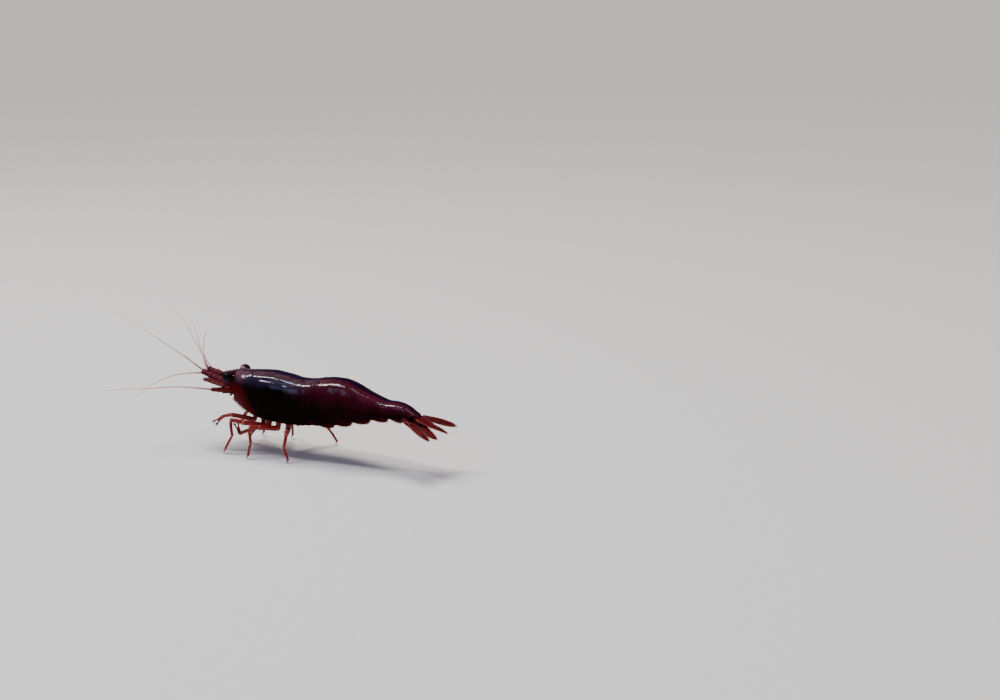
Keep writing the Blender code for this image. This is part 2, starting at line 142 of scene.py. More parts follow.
def tube(path, wide, high=None, around=12, up=upwards, nose=1.0, capRings=3):
    # Rings carried along a path: middle + across * wide * cos(turn) + lift * high * sin(turn).
    # Each end is rounded by rings that shrink with the cosine as they move out with the sine.
    path, count = np.asarray(path, float), len(path)
    wide = np.broadcast_to(np.asarray(wide, float), count)[:, None]
    high = wide if high is None else high[:, None]
    tangent = unit(np.gradient(path, axis=0))
    across = unit(np.cross(up, tangent))
    bend = np.arange(1, capRings + 1) / (capRings + 1) * math.pi / 2
    pick = np.r_[np.zeros(capRings, int), np.arange(count), np.full(capRings, count - 1)]
    reach = np.r_[-np.sin(bend[::-1]), np.zeros(count), np.sin(bend)][:, None]
    shrink = np.r_[np.cos(bend[::-1]), np.ones(count), np.cos(bend)][:, None]
    cap = tangent * nose * np.minimum(wide, high)
    cosine, sine = circle(around)
    rings = ((path[pick] + cap[pick] * reach)[:, None] + ((across * wide)[pick] * shrink)[:, None] * cosine
             + ((np.cross(tangent, across) * high)[pick] * shrink)[:, None] * sine)
    alongAt = np.r_[np.zeros(capRings), np.linspace(0.0, 1.0, count), np.ones(capRings)]
    return closedRings(rings, path[0] - cap[0], path[-1] + cap[-1], alongAt)


def outward(points, inside):
    # a grid's normals, on the side away from the points inside
    normal = unit(np.cross(np.gradient(points, axis=0), np.gradient(points, axis=1)))
    return normal * np.sign(np.mean(np.sum(normal * (points - inside), axis=-1)))


def raised(points, inside, amount):
    # every point of a grid moved out along its normal
    return points + outward(points, inside) * amount[..., None]


def capped(rings, along, frontShift, rearShift, aroundAt=None):
    # rings closed by a pole in the middle of each end ring, moved along X by the two shifts
    poles = [rings[end].mean(axis=0) + (shift, 0.0, 0.0) for end, shift in ((0, frontShift), (-1, rearShift))]
    return closedRings(rings, *poles, np.ravel(along), aroundAt)


def plate(outer, wall, inside):
    # A thin curved plate: the outer grid, the same grid moved in by the wall along its normals, and a
    # rounded rim round the border, nearly half a wall further out.
    rows, columns = outer.shape[:2]
    count = rows * columns
    wall = np.broadcast_to(wall, (rows, columns))[..., None]
    inner = outer - outward(outer, inside) * wall
    quads, flow = gridFaces(np.linspace(0.0, 1.0, rows), np.linspace(0.0, 1.0, columns), False)
    index = np.arange(count).reshape(rows, columns)
    border = np.r_[index[0, :-1], index[:-1, -1], index[-1, :0:-1], index[:0:-1, 0]]
    at = row, column = np.divmod(border, columns)
    nearby = np.clip(row, 1, rows - 2), np.clip(column, 1, columns - 2)
    rim = (outer[at] + inner[at]) / 2 + unit(outer[at] - outer[nearby]) * wall[at] * 0.45
    edge = 2 * count + np.arange(len(border))
    borderNext, edgeNext = np.roll(border, -1), np.roll(edge, -1)
    place = np.column_stack((row / (rows - 1), column / (columns - 1)))
    rimFlow = np.stack((place, place, np.roll(place, -1, axis=0), np.roll(place, -1, axis=0)), axis=1)
    return solid(np.concatenate((outer.reshape(-1, 3), inner.reshape(-1, 3), rim)),
                 np.concatenate((quads, quads[:, ::-1] + count,
                                 np.stack((border, edge, edgeNext, borderNext), axis=1),
                                 np.stack((edge, border + count, borderNext + count, edgeNext), axis=1))),
                 np.concatenate((flow, flow[:, ::-1], rimFlow, rimFlow)))


def bristles(rows):
    # Three-sided cones in one surface, from rows of roots, ways, lengths, thickness and droop:
    # root + way * length * t + droop * length * t^2, with a radius that falls as (1 - t)^0.8.
    whole = [[np.broadcast_to(value, (len(row[0]), size)) for value, size in zip(row, (3, 3, 1, 1, 3))]
             for row in rows]
    roots, ways, lengths, thick, droop = (np.concatenate(part)[:, None] for part in zip(*whole))
    count, steps, corners = len(roots), np.array((0.0, 0.3, 0.6, 0.85)), 3
    way = unit(ways)
    side = unit(np.cross(way, (0.31, 0.52, 0.79)))
    t = np.r_[steps, 1.0][:, None]
    spine = roots + (way * t + droop * t**2) * lengths
    cosine, sine = circle(corners)
    disc = side * cosine + np.cross(way, side) * sine
    rings = spine[:, :-1, None] + disc[:, None] * (thick * (1.0 - steps[:, None]) ** 0.8)[..., None]
    points = np.concatenate((rings.reshape(count, -1, 3), spine[:, -1:]), axis=1).reshape(-1, 3)
    quads, flow = gridFaces(steps, np.linspace(0.0, 1.0, corners + 1), True)
    last, each = (len(steps) - 1) * corners, len(steps) * corners + 1
    caps = np.array([(0, 2, 1)] + [(last + c, last + (c + 1) % corners, each - 1) for c in range(corners)])
    capFlow = np.array([[(0.0, 0.5)] * 3] + [[(steps[-1], c / corners), (steps[-1], (c + 1) / corners),
                                              (1.0, (c + 0.5) / corners)] for c in range(corners)])
    shift = (np.arange(count) * each)[:, None, None]
    hair = solid(points, (quads + shift).reshape(-1, 4), np.tile(flow, (count, 1, 1)),
                 (caps + shift).reshape(-1, 3), np.tile(capFlow, (count, 1, 1)))
    # the baking map gives each bristle a patch of its own, laid out row by row
    across = math.ceil(math.sqrt(count))
    spot = np.column_stack((np.arange(count) % across, np.arange(count) // across)) / across
    for kind, faces in (("quad", quads), ("triangle", caps)):
        patch = np.repeat(spot, len(faces), axis=0)[:, None]
        hair[kind + "Bake"] = hair[kind + "Flow"] * 0.8 / across + patch
    return hair


def addObject(name, data):
    # an object in the scene
    made = bpy.data.objects.new(name, data)
    bpy.context.scene.collection.objects.link(made)
    return made


def makePiece(name, surfaces, finish, *nodes):
    # The surfaces in one mesh. Millimetres of the body become metres of the frame, and the flow map
    # holds (along, around).
    shift, whole = 0, {}
    for surface in surfaces:
        for key, value in surface.items():
            whole.setdefault(key, []).append(value + shift if key in ("quads", "triangles") else value)
        shift += len(surface["points"])
    whole = {key: np.concatenate(value) for key, value in whole.items()}
    mesh = bpy.data.meshes.new(name)
    mesh.from_pydata(whole["points"] * mm + bodyAt, [], whole["quads"].tolist() + whole["triangles"].tolist())
    for mapName, ending in (("flow", "Flow"), ("OFBake", "Bake")):
        if "quad" + ending in whole:
            corners = np.r_[whole["quad" + ending].ravel(), whole["triangle" + ending].ravel()]
            mesh.uv_layers.new(name=mapName).data.foreach_set("uv", corners)
    mesh.shade_smooth()
    mesh.materials.append(finishes[finish])
    piece = addObject(name, mesh)
    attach(piece, "root")
    if nodes:
        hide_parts(*nodes)


class Wire:
    # An output in a shader graph. Sums, products and quotients of wires place Math nodes, and an
    # index gives another output of the same node.
    def __init__(self, socket):
        self.socket = socket

    def __getitem__(self, key):
        return Wire(self.socket.node.outputs[key])

    def __add__(self, other):
        return maths("ADD", self, other)

    def __sub__(self, other):
        return maths("SUBTRACT", self, other)

    def __mul__(self, other):
        return maths("MULTIPLY", self, other)

    def __truediv__(self, other):
        return maths("DIVIDE", self, other)


def feed(socket, value):
    # a wire is linked to the socket, and anything else is set on it
    if isinstance(value, Wire):
        socket.id_data.links.new(value.socket, socket)
    else:
        socket.default_value = (*value, 1.0) if socket.type == "RGBA" else value


def addNode(near, kind, inputs=(), **settings):
    # a node in the graph of a wire or in a tree, with its settings made and its inputs fed
    tree = near.socket.id_data if isinstance(near, Wire) else near
    node = tree.nodes.new("ShaderNode" + kind)
    for name, value in settings.items():
        setattr(node, name, value)
    for name, value in dict(inputs).items():
        feed(node.inputs[name], value)
    return Wire(node.outputs[0])


def maths(operation, *values):
    # a Math node beside the first wire among its values
    near = next(value for value in values if isinstance(value, Wire))
    return addNode(near, "Math", enumerate(values), operation=operation)


def axes(vector):
    # the parts of a vector, one output each
    return addNode(vector, "SeparateXYZ", {0: vector})


def perPitch(place, pitch):
    # a place counted in pitches
    return addNode(place, "VectorMath", {0: place, "Scale": maths("DIVIDE", 1.0, pitch)}, operation="SCALE")


def fade(value, start, end):
    # 0 before start and 1 past end, eased between; start may lie above end
    return addNode(value, "MapRange", {"Value": value, "From Min": start, "From Max": end},
                   interpolation_type="SMOOTHSTEP")


def layer(base, recipe, *fields):
    # A colour laid over the base. The recipe gives the colour and its strength, and for each field the
    # values between which the colour comes in; a field without such values is used as it is.
    colour, amount, *ranges = recipe
    for number, field in enumerate(fields):
        amount = (fade(field, *ranges[number]) if number < len(ranges) else field) * amount
    return addNode(amount, "Mix", {0: amount, 6: base, 7: colour}, data_type="RGBA")[2]


def newGroup(name, inputs, outputs):
    # an empty node group: Place and Flow are vectors, and its other sockets are numbers
    tree = bpy.data.node_groups.new(name, "ShaderNodeTree")
    for socket, default in inputs.items():
        kind = "NodeSocketVector" if default is None else "NodeSocketFloat"
        made = tree.interface.new_socket(name=socket, in_out="INPUT", socket_type=kind)
        if default is not None:
            made.default_value = default
    for socket in outputs:
        tree.interface.new_socket(name=socket, in_out="OUTPUT", socket_type="NodeSocketFloat")
    return tree, Wire(tree.nodes.new("NodeGroupInput").outputs[0]), tree.nodes.new("NodeGroupOutput").inputs


def pigmentGroup():
    # Pigment cells: round dots of uneven size in jittered cells, and the cloudy patches they gather in.
    tree, given, out = newGroup("pigmentCells", {"Place": None, "Spacing": 0.1, "Size": 0.4, "Cloud": 1.0},
                                ("Dots", "Clouds"))
    cells = perPitch(given["Place"], given["Spacing"])
    wobble = addNode(tree, "TexNoise", {"Vector": cells, "Scale": 1.6, "Detail": 1.0})["Color"]
    bent = addNode(tree, "VectorMath", {0: wobble, 1: (0.35, 0.35, 0.35), 2: cells}, operation="MULTIPLY_ADD")
    cell = addNode(tree, "TexVoronoi", {"Vector": bent, "Scale": 1.0, "Randomness": 0.85})
    size = addNode(tree, "SeparateColor", {0: cell["Color"]}) * 0.8 + 0.5
    feed(out["Dots"], fade(cell["Distance"] / (given["Size"] * size), 1.15, 0.55))
    cloudy = perPitch(given["Place"], given["Cloud"])
    cloud = addNode(tree, "TexNoise", {"Vector": cloudy, "Scale": 1.0, "Detail": 5.0, "Roughness": 0.62})
    feed(out["Clouds"], fade(cloud["Fac"], 0.36, 0.64))
    return tree


def reliefGroup():
    # Surface height in thousandths of a millimetre: pores, fine wrinkles and slow waves.
    tree, given, out = newGroup("shellRelief", {"Place": None, "Pore": 0.06, "Pores": 1.0, "Wrinkles": 1.0,
                                                "Waves": 1.0}, ("Height",))
    place = perPitch(given["Place"], given["Pore"])
    pits = addNode(tree, "TexVoronoi", {"Vector": place, "Scale": 1.0}, feature="SMOOTH_F1")
    fine = addNode(tree, "TexNoise", {"Vector": place, "Scale": 0.55, "Detail": 4.0, "Roughness": 0.6})
    slow = addNode(tree, "TexNoise", {"Vector": given["Place"], "Scale": 1.4, "Detail": 2.0})
    feed(out["Height"], fade(pits["Distance"], 0.05, 0.42) * given["Pores"] + fine["Fac"] * given["Wrinkles"]
         + slow["Fac"] * given["Waves"])
    return tree


def borderGroup():
    # How near a place of the flow map is to its ends and its sides: 1 on the border, 0 past the given width.
    tree, given, out = newGroup("borderGlow", {"Flow": None, "EndWidth": 0.1, "SideWidth": 0.1,
                                               "Uneven": 0.0}, ("Ends", "Sides"))
    for at, name in zip(axes(given["Flow"]), ("End", "Side")):
        depth = maths("SUBTRACT", 0.5, maths("ABSOLUTE", at - 0.5)) - given["Uneven"]
        feed(out[name + "s"], fade(depth / given[name + "Width"], 1.0, 0.0))
    return tree


effects = {"pigment": pigmentGroup(), "relief": reliefGroup(), "border": borderGroup()}
finishes = {}


def effect(name, near, **inputs):
    # one of the groups, placed in the graph of a wire
    return addNode(near, "Group", inputs, node_tree=effects[name])


def pigment(place, sizes):
    # dots and clouds of pigment, from the cells' spacing, the dots' share of it and the clouds' pitch
    return effect("pigment", place, Place=place, **dict(zip(("Spacing", "Size", "Cloud"), sizes)))


def bump(height, strength, depth):
    # a normal bent by a height; depth is in millimetres for one unit of it
    return addNode(height, "Bump", {"Height": height, "Strength": strength, "Distance": depth * mm})


def newFinish(name, look):
    # A Principled material whose fixed values stand on its own sockets, with its relief. Gives those
    # sockets, body millimetres from Object coordinates, the pigment there, and the piece's flow map.
    finishes[name] = bpy.data.materials.new(name)
    finishes[name].use_nodes = True
    tree = finishes[name].node_tree
    sockets = tree.nodes["Principled BSDF"].inputs
    for socket, value in look["shader"].items():
        feed(sockets[socket], value)
    place = addNode(tree, "Mapping", {"Vector": addNode(tree, "TexCoord")["Object"],
                                      "Location": tuple(-bodyAt / mm), "Scale": (1.0 / mm,) * 3})
    if "relief" in look:
        amounts = dict(zip(("Pore", "Pores", "Wrinkles", "Waves"), look["relief"]))
        feed(sockets["Normal"], bump(effect("relief", place, Place=place, **amounts), 1.0, 0.001))
    return sockets, place, pigment(place, look["cells"]), addNode(tree, "UVMap", uv_map="flow")


# A layer's recipe is its colour, its strength, and where it comes in on each field that it follows.
shellLook = {
    "shader": {"Specular IOR Level": 0.012, "Coat Roughness": 0.09, "Sheen Weight": 0.006,
               "Sheen Roughness": 0.35, "Sheen Tint": (0.22, 0.18, 0.75)},
    "cells": (0.085, 0.42, 0.55), "coarse": (0.23, 0.45, 1.7), "relief": (0.05, 1.6, 2.4, 11.0),
    # the flanks' blue-black is partly the shell's own dark colour and partly a painted blue sheen
    "flank": (0.0120, 0.0070, 0.0240), "deep": ((0.0026, 0.0003, 0.0005), 1.0, (0.30, 0.46)),
    "belly": ((0.0360, 0.0006, 0.0006), 1.0, (0.86, 1.02)), "low": (0.40, 0.72),
    "wine": (0.0520, 0.0024, 0.0105), "wineDark": ((0.0180, 0.0006, 0.0036), 0.5),
    "wineLow": ((0.0045, 0.0002, 0.0006), 0.85), "wineAt": (1.0, (-1.6, 3.0)), "wineBehind": 2.6,
    # paler and mottled along the back
    "stripe": (0.088, 0.042, 0.046), "stripeDark": ((0.032, 0.0095, 0.0160), 1.0),
    "stripeAt": (0.85, (0.27, 0.20), (4.4, 0.8)),
    "crown": ((0.0910, 0.0280, 0.0460), 0.75, (-4.7, -5.6), (0.50, 0.30)),
    # painted highlight: a pale spot behind each eye, where the lamp's glint falls
    "temple": ((0.330, 0.280, 0.350), 0.85, (0.42, 0.12)), "templeAt": (0.235, -5.32), "templeTall": 6.0,
    "cheek": ((0.0800, 0.0008, 0.0008), 0.9, (-4.3, -5.5), (0.38, 0.54)), "cheekSlope": 0.55,
    # painted shade: a dark violet line along the ridge of the back, where the outline darkens at grazing view
    "backLine": ((0.0022, 0.0005, 0.0120), 0.92, (0.105, 0.045)), "ragged": (0.015, 0.030),
    "dot": ((0.0006, 0.0002, 0.0004), 0.55),
    "edge": ((0.0420, 0.0016, 0.0010), 1.0), "edgeWidth": (0.05, 0.030), "edgeShare": (0.04, 0.55),
    "gloss": 0.60, "lowGloss": 0.008, "glossLevel": (0.440, 0.270), "glossLean": (0.05, 0.15), "rough": 0.25,
}
# on the tail the painted shade along the ridge reaches a little further down
tailChanges = {"backLine": ((0.0022, 0.0005, 0.0120), 0.92, (0.120, 0.045)), "rough": 0.22}


def shellFinish(name, look):
    # Paler mottled colour along the back, blue-black upper flanks whose blue is partly a painted sheen,
    # near-black lower flanks, a deep red cheek, a painted highlight behind each eye, painted shade along
    # the ridge, and wine red towards the tail. lean is 0 along the back and 1 at the lower edge.
    sockets, place, cells, flow = newFinish(name, look)
    at, coarse, clouds = axes(place), pigment(place, look["coarse"]), cells["Clouds"]
    lean = maths("ABSOLUTE", axes(flow)[1] * 2.0 - 1.0)
    level = lean + (coarse["Clouds"] * 0.05 + clouds * 0.03)
    low = fade(level, *look["low"])
    base = layer(layer(look["flank"], look["deep"], level), look["belly"], level)
    rear = layer(layer(look["wine"], look["wineDark"], coarse["Clouds"]), look["wineLow"], low)
    base = layer(base, (rear, *look["wineAt"]), at[0] - low * look["wineBehind"])
    stripe = layer(look["stripe"], look["stripeDark"], clouds)
    base = layer(base, (stripe, *look["stripeAt"]), level, at[0])
    base = layer(base, look["crown"], at[0], level)
    # painted highlight: a pale spot behind each eye
    aside, ahead = (lean - look["templeAt"][0]) * look["templeTall"], at[0] - look["templeAt"][1]
    base = layer(base, look["temple"], maths("SQRT", aside * aside + ahead * ahead) + clouds * 0.16)
    base = layer(base, look["cheek"], at[2] * look["cheekSlope"] + at[0], level)
    # painted shade along the ridge of the back, with a ragged edge
    wideTeeth, fineTeeth = look["ragged"]
    base = layer(base, look["backLine"], lean + (coarse["Clouds"] * wideTeeth + clouds * fineTeeth))
    base = layer(base, look["dot"], cells["Dots"])
    border = effect("border", flow, Flow=flow, EndWidth=look["edgeWidth"][0], SideWidth=look["edgeWidth"][1],
                    Uneven=clouds * 0.012)
    rim = maths("MAXIMUM", border["Ends"] * look["edgeShare"][0], border["Sides"] * look["edgeShare"][1])
    feed(sockets["Base Color"], layer(base, look["edge"], rim))
    # the gloss lies on the upper flanks, and fades out on the ridge of the back
    upper = fade(level, *look["glossLevel"]) * fade(lean, *look["glossLean"])
    feed(sockets["Coat Weight"], upper * (look["gloss"] - look["lowGloss"]) + look["lowGloss"])
    feed(sockets["Roughness"], clouds * 0.16 + look["rough"] + cells["Dots"] * 0.05)


limbLook = {
    "shader": {"Specular IOR Level": 0.06, "Coat Weight": 0.05, "Coat Roughness": 0.12,
               "Subsurface Weight": 0.10, "Subsurface Radius": (1.0, 0.18, 0.14),
               "Subsurface Scale": 0.16 * mm},
    "cells": (0.055, 0.46, 0.32), "relief": (0.035, 2.0, 3.5, 6.0), "clouded": 0.8, "dotted": 0.6,
    "rimWidth": (0.09, 0.001), "rim": 0.45,
}
# flesh, dark pigment and pale joints of each kind of limb, then what else differs from limbLook
limbKinds = {
    "legShell": ((0.340, 0.0150, 0.0110), (0.130, 0.0034, 0.0042), (0.47, 0.100, 0.075),
                 {"shader": {"Specular IOR Level": 0.20, "Coat Weight": 0.25}}),
    "feelerBase": ((0.105, 0.0060, 0.0130), (0.024, 0.0012, 0.0050), (0.15, 0.022, 0.030),
                   {"shader": {"Specular IOR Level": 0.05, "Coat Weight": 0.10}}),
    "antennaBase": ((0.115, 0.0048, 0.0018), (0.036, 0.0013, 0.0009), (0.16, 0.016, 0.008), {}),
    "undersideSkin": ((0.060, 0.0012, 0.0012), (0.020, 0.0004, 0.0006), (0.09, 0.007, 0.006),
                      {"rimWidth": (0.002, 0.001)}),
    "paddle": ((0.340, 0.0220, 0.0100), (0.120, 0.0040, 0.0025), (0.55, 0.130, 0.070),
               {"rimWidth": (0.12, 0.06)}),
    "tailBlade": ((0.098, 0.0030, 0.0034), (0.030, 0.0009, 0.0014), (0.210, 0.0400, 0.0360),
                  {"shader": {"Specular IOR Level": 0.10, "Coat Weight": 0.0}, "rimWidth": (0.06, 0.10),
                   "rim": 0.7}),
    "eyeStalk": ((0.060, 0.0120, 0.0220), (0.015, 0.0024, 0.0060), (0.200, 0.085, 0.095),
                 {"rimWidth": (0.12, 0.001)}),
}


def limbFinish(name, look, flesh, dark, joint, changes):
    # Red flesh clouded and dotted with darker pigment, paler at the ends of each article.
    look = {**look, **changes, "shader": {**look["shader"], **changes.get("shader", {})}}
    sockets, place, cells, flow = newFinish(name, look)
    base = layer(flesh, (dark, look["clouded"]), cells["Clouds"])
    base = layer(base, (dark, look["dotted"]), cells["Dots"])
    border = effect("border", flow, Flow=flow, EndWidth=look["rimWidth"][0], SideWidth=look["rimWidth"][1],
                    Uneven=cells["Clouds"] * 0.01)
    rim = maths("MAXIMUM", border["Ends"], border["Sides"])
    feed(sockets["Base Color"], layer(base, (joint, look["rim"]), rim))
    feed(sockets["Roughness"], cells["Clouds"] * 0.18 + 0.30)


feelerLook = {
    "shader": {"Specular IOR Level": 0.5, "Coat Weight": 0.2, "Coat Roughness": 0.2,
               "Subsurface Weight": 0.35, "Subsurface Radius": (1.0, 0.55, 0.4),
               "Subsurface Scale": 0.08 * mm},
    "cells": (0.12, 0.5, 0.5), "relief": (0.03, 1.0, 2.0, 0.0), "root": (0.330, 0.060, 0.050),
    "thread": ((0.660, 0.500, 0.400), 1.0, (0.00, 0.26)), "tip": ((0.780, 0.710, 0.620), 1.0, (0.34, 0.95)),
    "rings": 78.0, "ringDark": 0.35, "dotted": 0.3,
}


def feelerFinish(name, look):
    # Red at the root, pale towards the tip, with a darker line at each ring of the thread.
    sockets, place, cells, flow = newFinish(name, look)
    along = axes(flow)[0]
    base = layer(layer(look["root"], look["thread"], along), look["tip"], along)
    line = fade(maths("SINE", along * (look["rings"] * fullTurn)), 0.2, 1.0) * look["ringDark"]
    dark = maths("MAXIMUM", line, cells["Dots"] * look["dotted"])
    feed(sockets["Base Color"], layer(base, (look["root"], 1.0), dark))
    feed(sockets["Roughness"], cells["Clouds"] * 0.2 + 0.3)


eyeLook = {
    "shader": {"Roughness": 0.30, "Specular IOR Level": 0.03, "Coat Weight": 0.13, "Coat Roughness": 0.05},
    "cells": (0.05, 0.4, 0.3), "cornea": (0.0012, 0.0010, 0.0017),
    # the pale rim where the stalk begins is partly the eye's own paler base and partly a painted reflection
    "band": ((0.024, 0.010, 0.012), 1.0, (0.54, 0.42)), "rim": ((0.360, 0.220, 0.240), 1.0, (0.44, 0.33)),
    "facet": 0.028,
}


def eyeFinish(name, look):
    # A near-black cornea of small facets that browns towards the ring where the stalk begins, and pales at
    # that ring: partly the eye's own colour and partly a painted reflection.
    sockets, place, cells, flow = newFinish(name, look)
    uneven = cells["Clouds"] * 0.05 + axes(flow)[0]
    feed(sockets["Base Color"], layer(layer(look["cornea"], look["band"], uneven), look["rim"], uneven))
    place = addNode(place, "VectorMath", {0: place, "Scale": 1.0 / look["facet"]}, operation="SCALE")
    facets = addNode(place, "TexVoronoi", {"Vector": place, "Scale": 1.0, "Randomness": 0.25})["Distance"]
    feed(sockets["Normal"], bump(facets * -1.0, 0.35, 0.004))


hairLook = {
    "shader": {"Roughness": 0.45, "Specular IOR Level": 0.5, "Subsurface Weight": 0.3,
               "Subsurface Radius": (1.0, 0.4, 0.3), "Subsurface Scale": 0.03 * mm},
    "cells": (0.12, 0.4, 0.25), "clouded": 0.45,
    # root and tip
    "redBristles": ((0.150, 0.016, 0.008), (0.34, 0.110, 0.060)),
    "brushBristles": ((0.030, 0.0016, 0.0016), (0.080, 0.012, 0.009)),
}


def hairFinish(name, look):
    # Bristles darker at the root and paler at the tip, uneven from one to the next.
    sockets, place, cells, flow = newFinish(name, look)
    root, tip = look[name]
    base = layer(root, (tip, 1.0, (0.0, 0.9)), axes(flow)[0])
    feed(sockets["Base Color"], layer(base, (root, look["clouded"]), cells["Clouds"]))


bladeLook = {
    "shader": {"Roughness": 0.35, "Specular IOR Level": 0.08, "Coat Weight": 0.05, "Coat Roughness": 0.12,
               "Subsurface Weight": 0.3, "Subsurface Radius": (1.0, 0.3, 0.25), "Subsurface Scale": 0.1 * mm},
    "cells": (0.07, 0.45, 0.4), "relief": (0.04, 1.5, 3.0, 8.0),
    "blade": (0.075, 0.0080, 0.0080), "rib": (0.016, 0.0010, 0.0012), "clear": 0.86,
    # where the dark of each border begins and is full, and the same about the mid rib
    "outerRim": (0.16, 0.05), "innerRim": (0.96, 0.995), "midRib": 0.42, "midWidth": (0.05, 0.015),
}


def scaleFinish(name, look):
    # A clear reddish blade with a dark outer rim and a mid rib; its middle lets some light through.
    sockets, place, cells, flow = newFinish(name, look)
    at = axes(flow)[1]
    rib = fade(maths("ABSOLUTE", at - look["midRib"]), *look["midWidth"])
    for border in ("outerRim", "innerRim"):
        rib = maths("MAXIMUM", rib, fade(at, *look[border]))
    dark = maths("MAXIMUM", rib * 0.9, cells["Dots"] * 0.6)
    feed(sockets["Base Color"], layer(look["blade"], (look["rib"], 1.0), dark))
    feed(sockets["Alpha"], maths("MAXIMUM", cells["Clouds"] * 0.15 + look["clear"], rib))


shellFinish("shell", shellLook)
shellFinish("tailShell", {**shellLook, **tailChanges})
for name, kind in limbKinds.items():
    limbFinish(name, limbLook, *kind)
feelerFinish("feelerThread", feelerLook)
eyeFinish("eyeCornea", eyeLook)
scaleFinish("feelerScale", bladeLook)
for name in ("redBristles", "brushBristles"):
    hairFinish(name, hairLook)
print("finishes ready:", len(finishes))


bodyLook = {
    # x, top, lower edge and half width, in millimetres
    "stations": ((-7.2, 1.92, 0.22, 0.86), (-6.2, 2.14, -0.68, 1.22), (-5.2, 2.22, -1.30, 1.52),
                 (-4.0, 2.33, -1.70, 1.74), (-2.7, 2.35, -1.86, 1.86), (-1.4, 2.18, -1.93, 1.86),
                 (0.0, 1.96, -1.88, 1.76), (1.1, 2.04, -1.80, 1.70), (2.0, 2.22, -1.70, 1.68),
                 (3.1, 2.35, -1.55, 1.68), (4.2, 2.31, -1.32, 1.62), (5.2, 2.04, -1.08, 1.48),
                 (6.0, 1.68, -0.88, 1.34), (7.0, 1.31, -0.66, 1.16), (8.1, 0.99, -0.48, 0.98),
                 (9.5, 0.95, -0.38, 0.84), (10.2, 0.80, -0.50, 0.78), (10.9, 0.43, -0.66, 0.70),
                 (11.8, -0.10, -0.98, 0.62)),
    "widestHeight": 0.52, "backBow": 0.9, "sideBow": 0.86, "tuckAt": (-2.0, 2.0), "tuck": (0.36, 0.16),
    "swing": 0.8, "swingReach": 12.0,
    # cuts between plates: x on the back, shift at the widest part, shift at the lower edge
    "front": (-6.40, -0.12, 0.02),
    "cuts": ((0.05, 0.95, 0.50), (1.85, -0.15, -0.40), (4.00, 0.15, 0.45), (6.00, -0.05, -0.15),
             (7.80, -0.15, -0.30), (9.66, 0.0, 0.0), (11.60, -0.75, -1.45)),
}


def bodySize(x):
    # top, lower edge and half width of the body at x
    return smoothTable(bodyLook["stations"], x)


def swing(x):
    # sideways bend towards the tail, with the cube of the distance from the carapace
    return -bodyLook["swing"] * (np.clip(x, 0.0, None) / bodyLook["swingReach"]) ** 3


def arch(x, around, top, bottom, half, tuck):
    # around runs from -1 at the left lower edge over the back to 1. Above the widest part the
    # height goes with a power of the cosine and the width of the sine; below it the side tucks in.
    lean = np.abs(around) * 2.0
    upper, lower = (np.clip(part, 0.0, 1.0) * math.pi / 2 for part in (lean, lean - 1.0))
    middle = bottom + bodyLook["widestHeight"] * (top - bottom)
    z = np.where(lean <= 1.0, middle + (top - middle) * np.cos(upper) ** bodyLook["backBow"],
                 middle - (middle - bottom) * np.sin(lower))
    out = half * np.where(lean <= 1.0, np.sin(upper) ** bodyLook["sideBow"],
                          1.0 - tuck * (1.0 - np.cos(lower)))
    return np.stack(np.broadcast_arrays(x, swing(x) + np.sign(around) * out, z), axis=-1)


def skin(x, around, shrink=0.0, lift=0.0):
    # the arch of the body at x, made smaller all round by shrink and raised below by lift
    top, bottom, half = bodySize(x)
    tuck = np.interp(x, bodyLook["tuckAt"], bodyLook["tuck"])
    return arch(x, around, top - shrink, bottom + lift + shrink, half - shrink, tuck)


def axisPoint(x):
    # the middle of the body at x
    top, bottom, half = bodySize(x)
    return np.stack((x, swing(x), (top + bottom) / 2), axis=-1)


def cutLine(cut, lean):
    # x of a plate's edge: it shifts with the square of a sine down to the widest part, then with a square
    back, side, edge = cut
    sidePart = np.sin(np.clip(lean * 2.0, 0.0, 1.0) * math.pi / 2) ** 2
    return back + side * sidePart + (edge - side) * np.clip(lean * 2.0 - 1.0, 0.0, 1.0) ** 2


def sheet(look):
    # t from a plate's front to its rear, around from its left lower edge to its right one, and its size
    t = np.linspace(0.0, 1.0, look["rows"])[:, None]
    around = np.linspace(-1.0, 1.0, look["columns"])[None]
    return t, around, np.abs(around)


carapaceLook = {"rows": 190, "columns": 241, "wall": 0.060, "overhang": 0.06,
                "orbit": 0.30, "orbitAt": (0.29, 0.085), "spine": 0.36, "spineAt": 0.465, "spineWide": 0.045,
                "cornerRound": 0.22, "flare": 0.020, "bead": 0.007,
                "groove": 0.034, "grooveAt": (0.245, 0.030), "bulge": 0.055, "bulgeAt": (0.345, 0.065),
                "lumps": 0.020, "dimples": 0.008, "temple": 0.050}


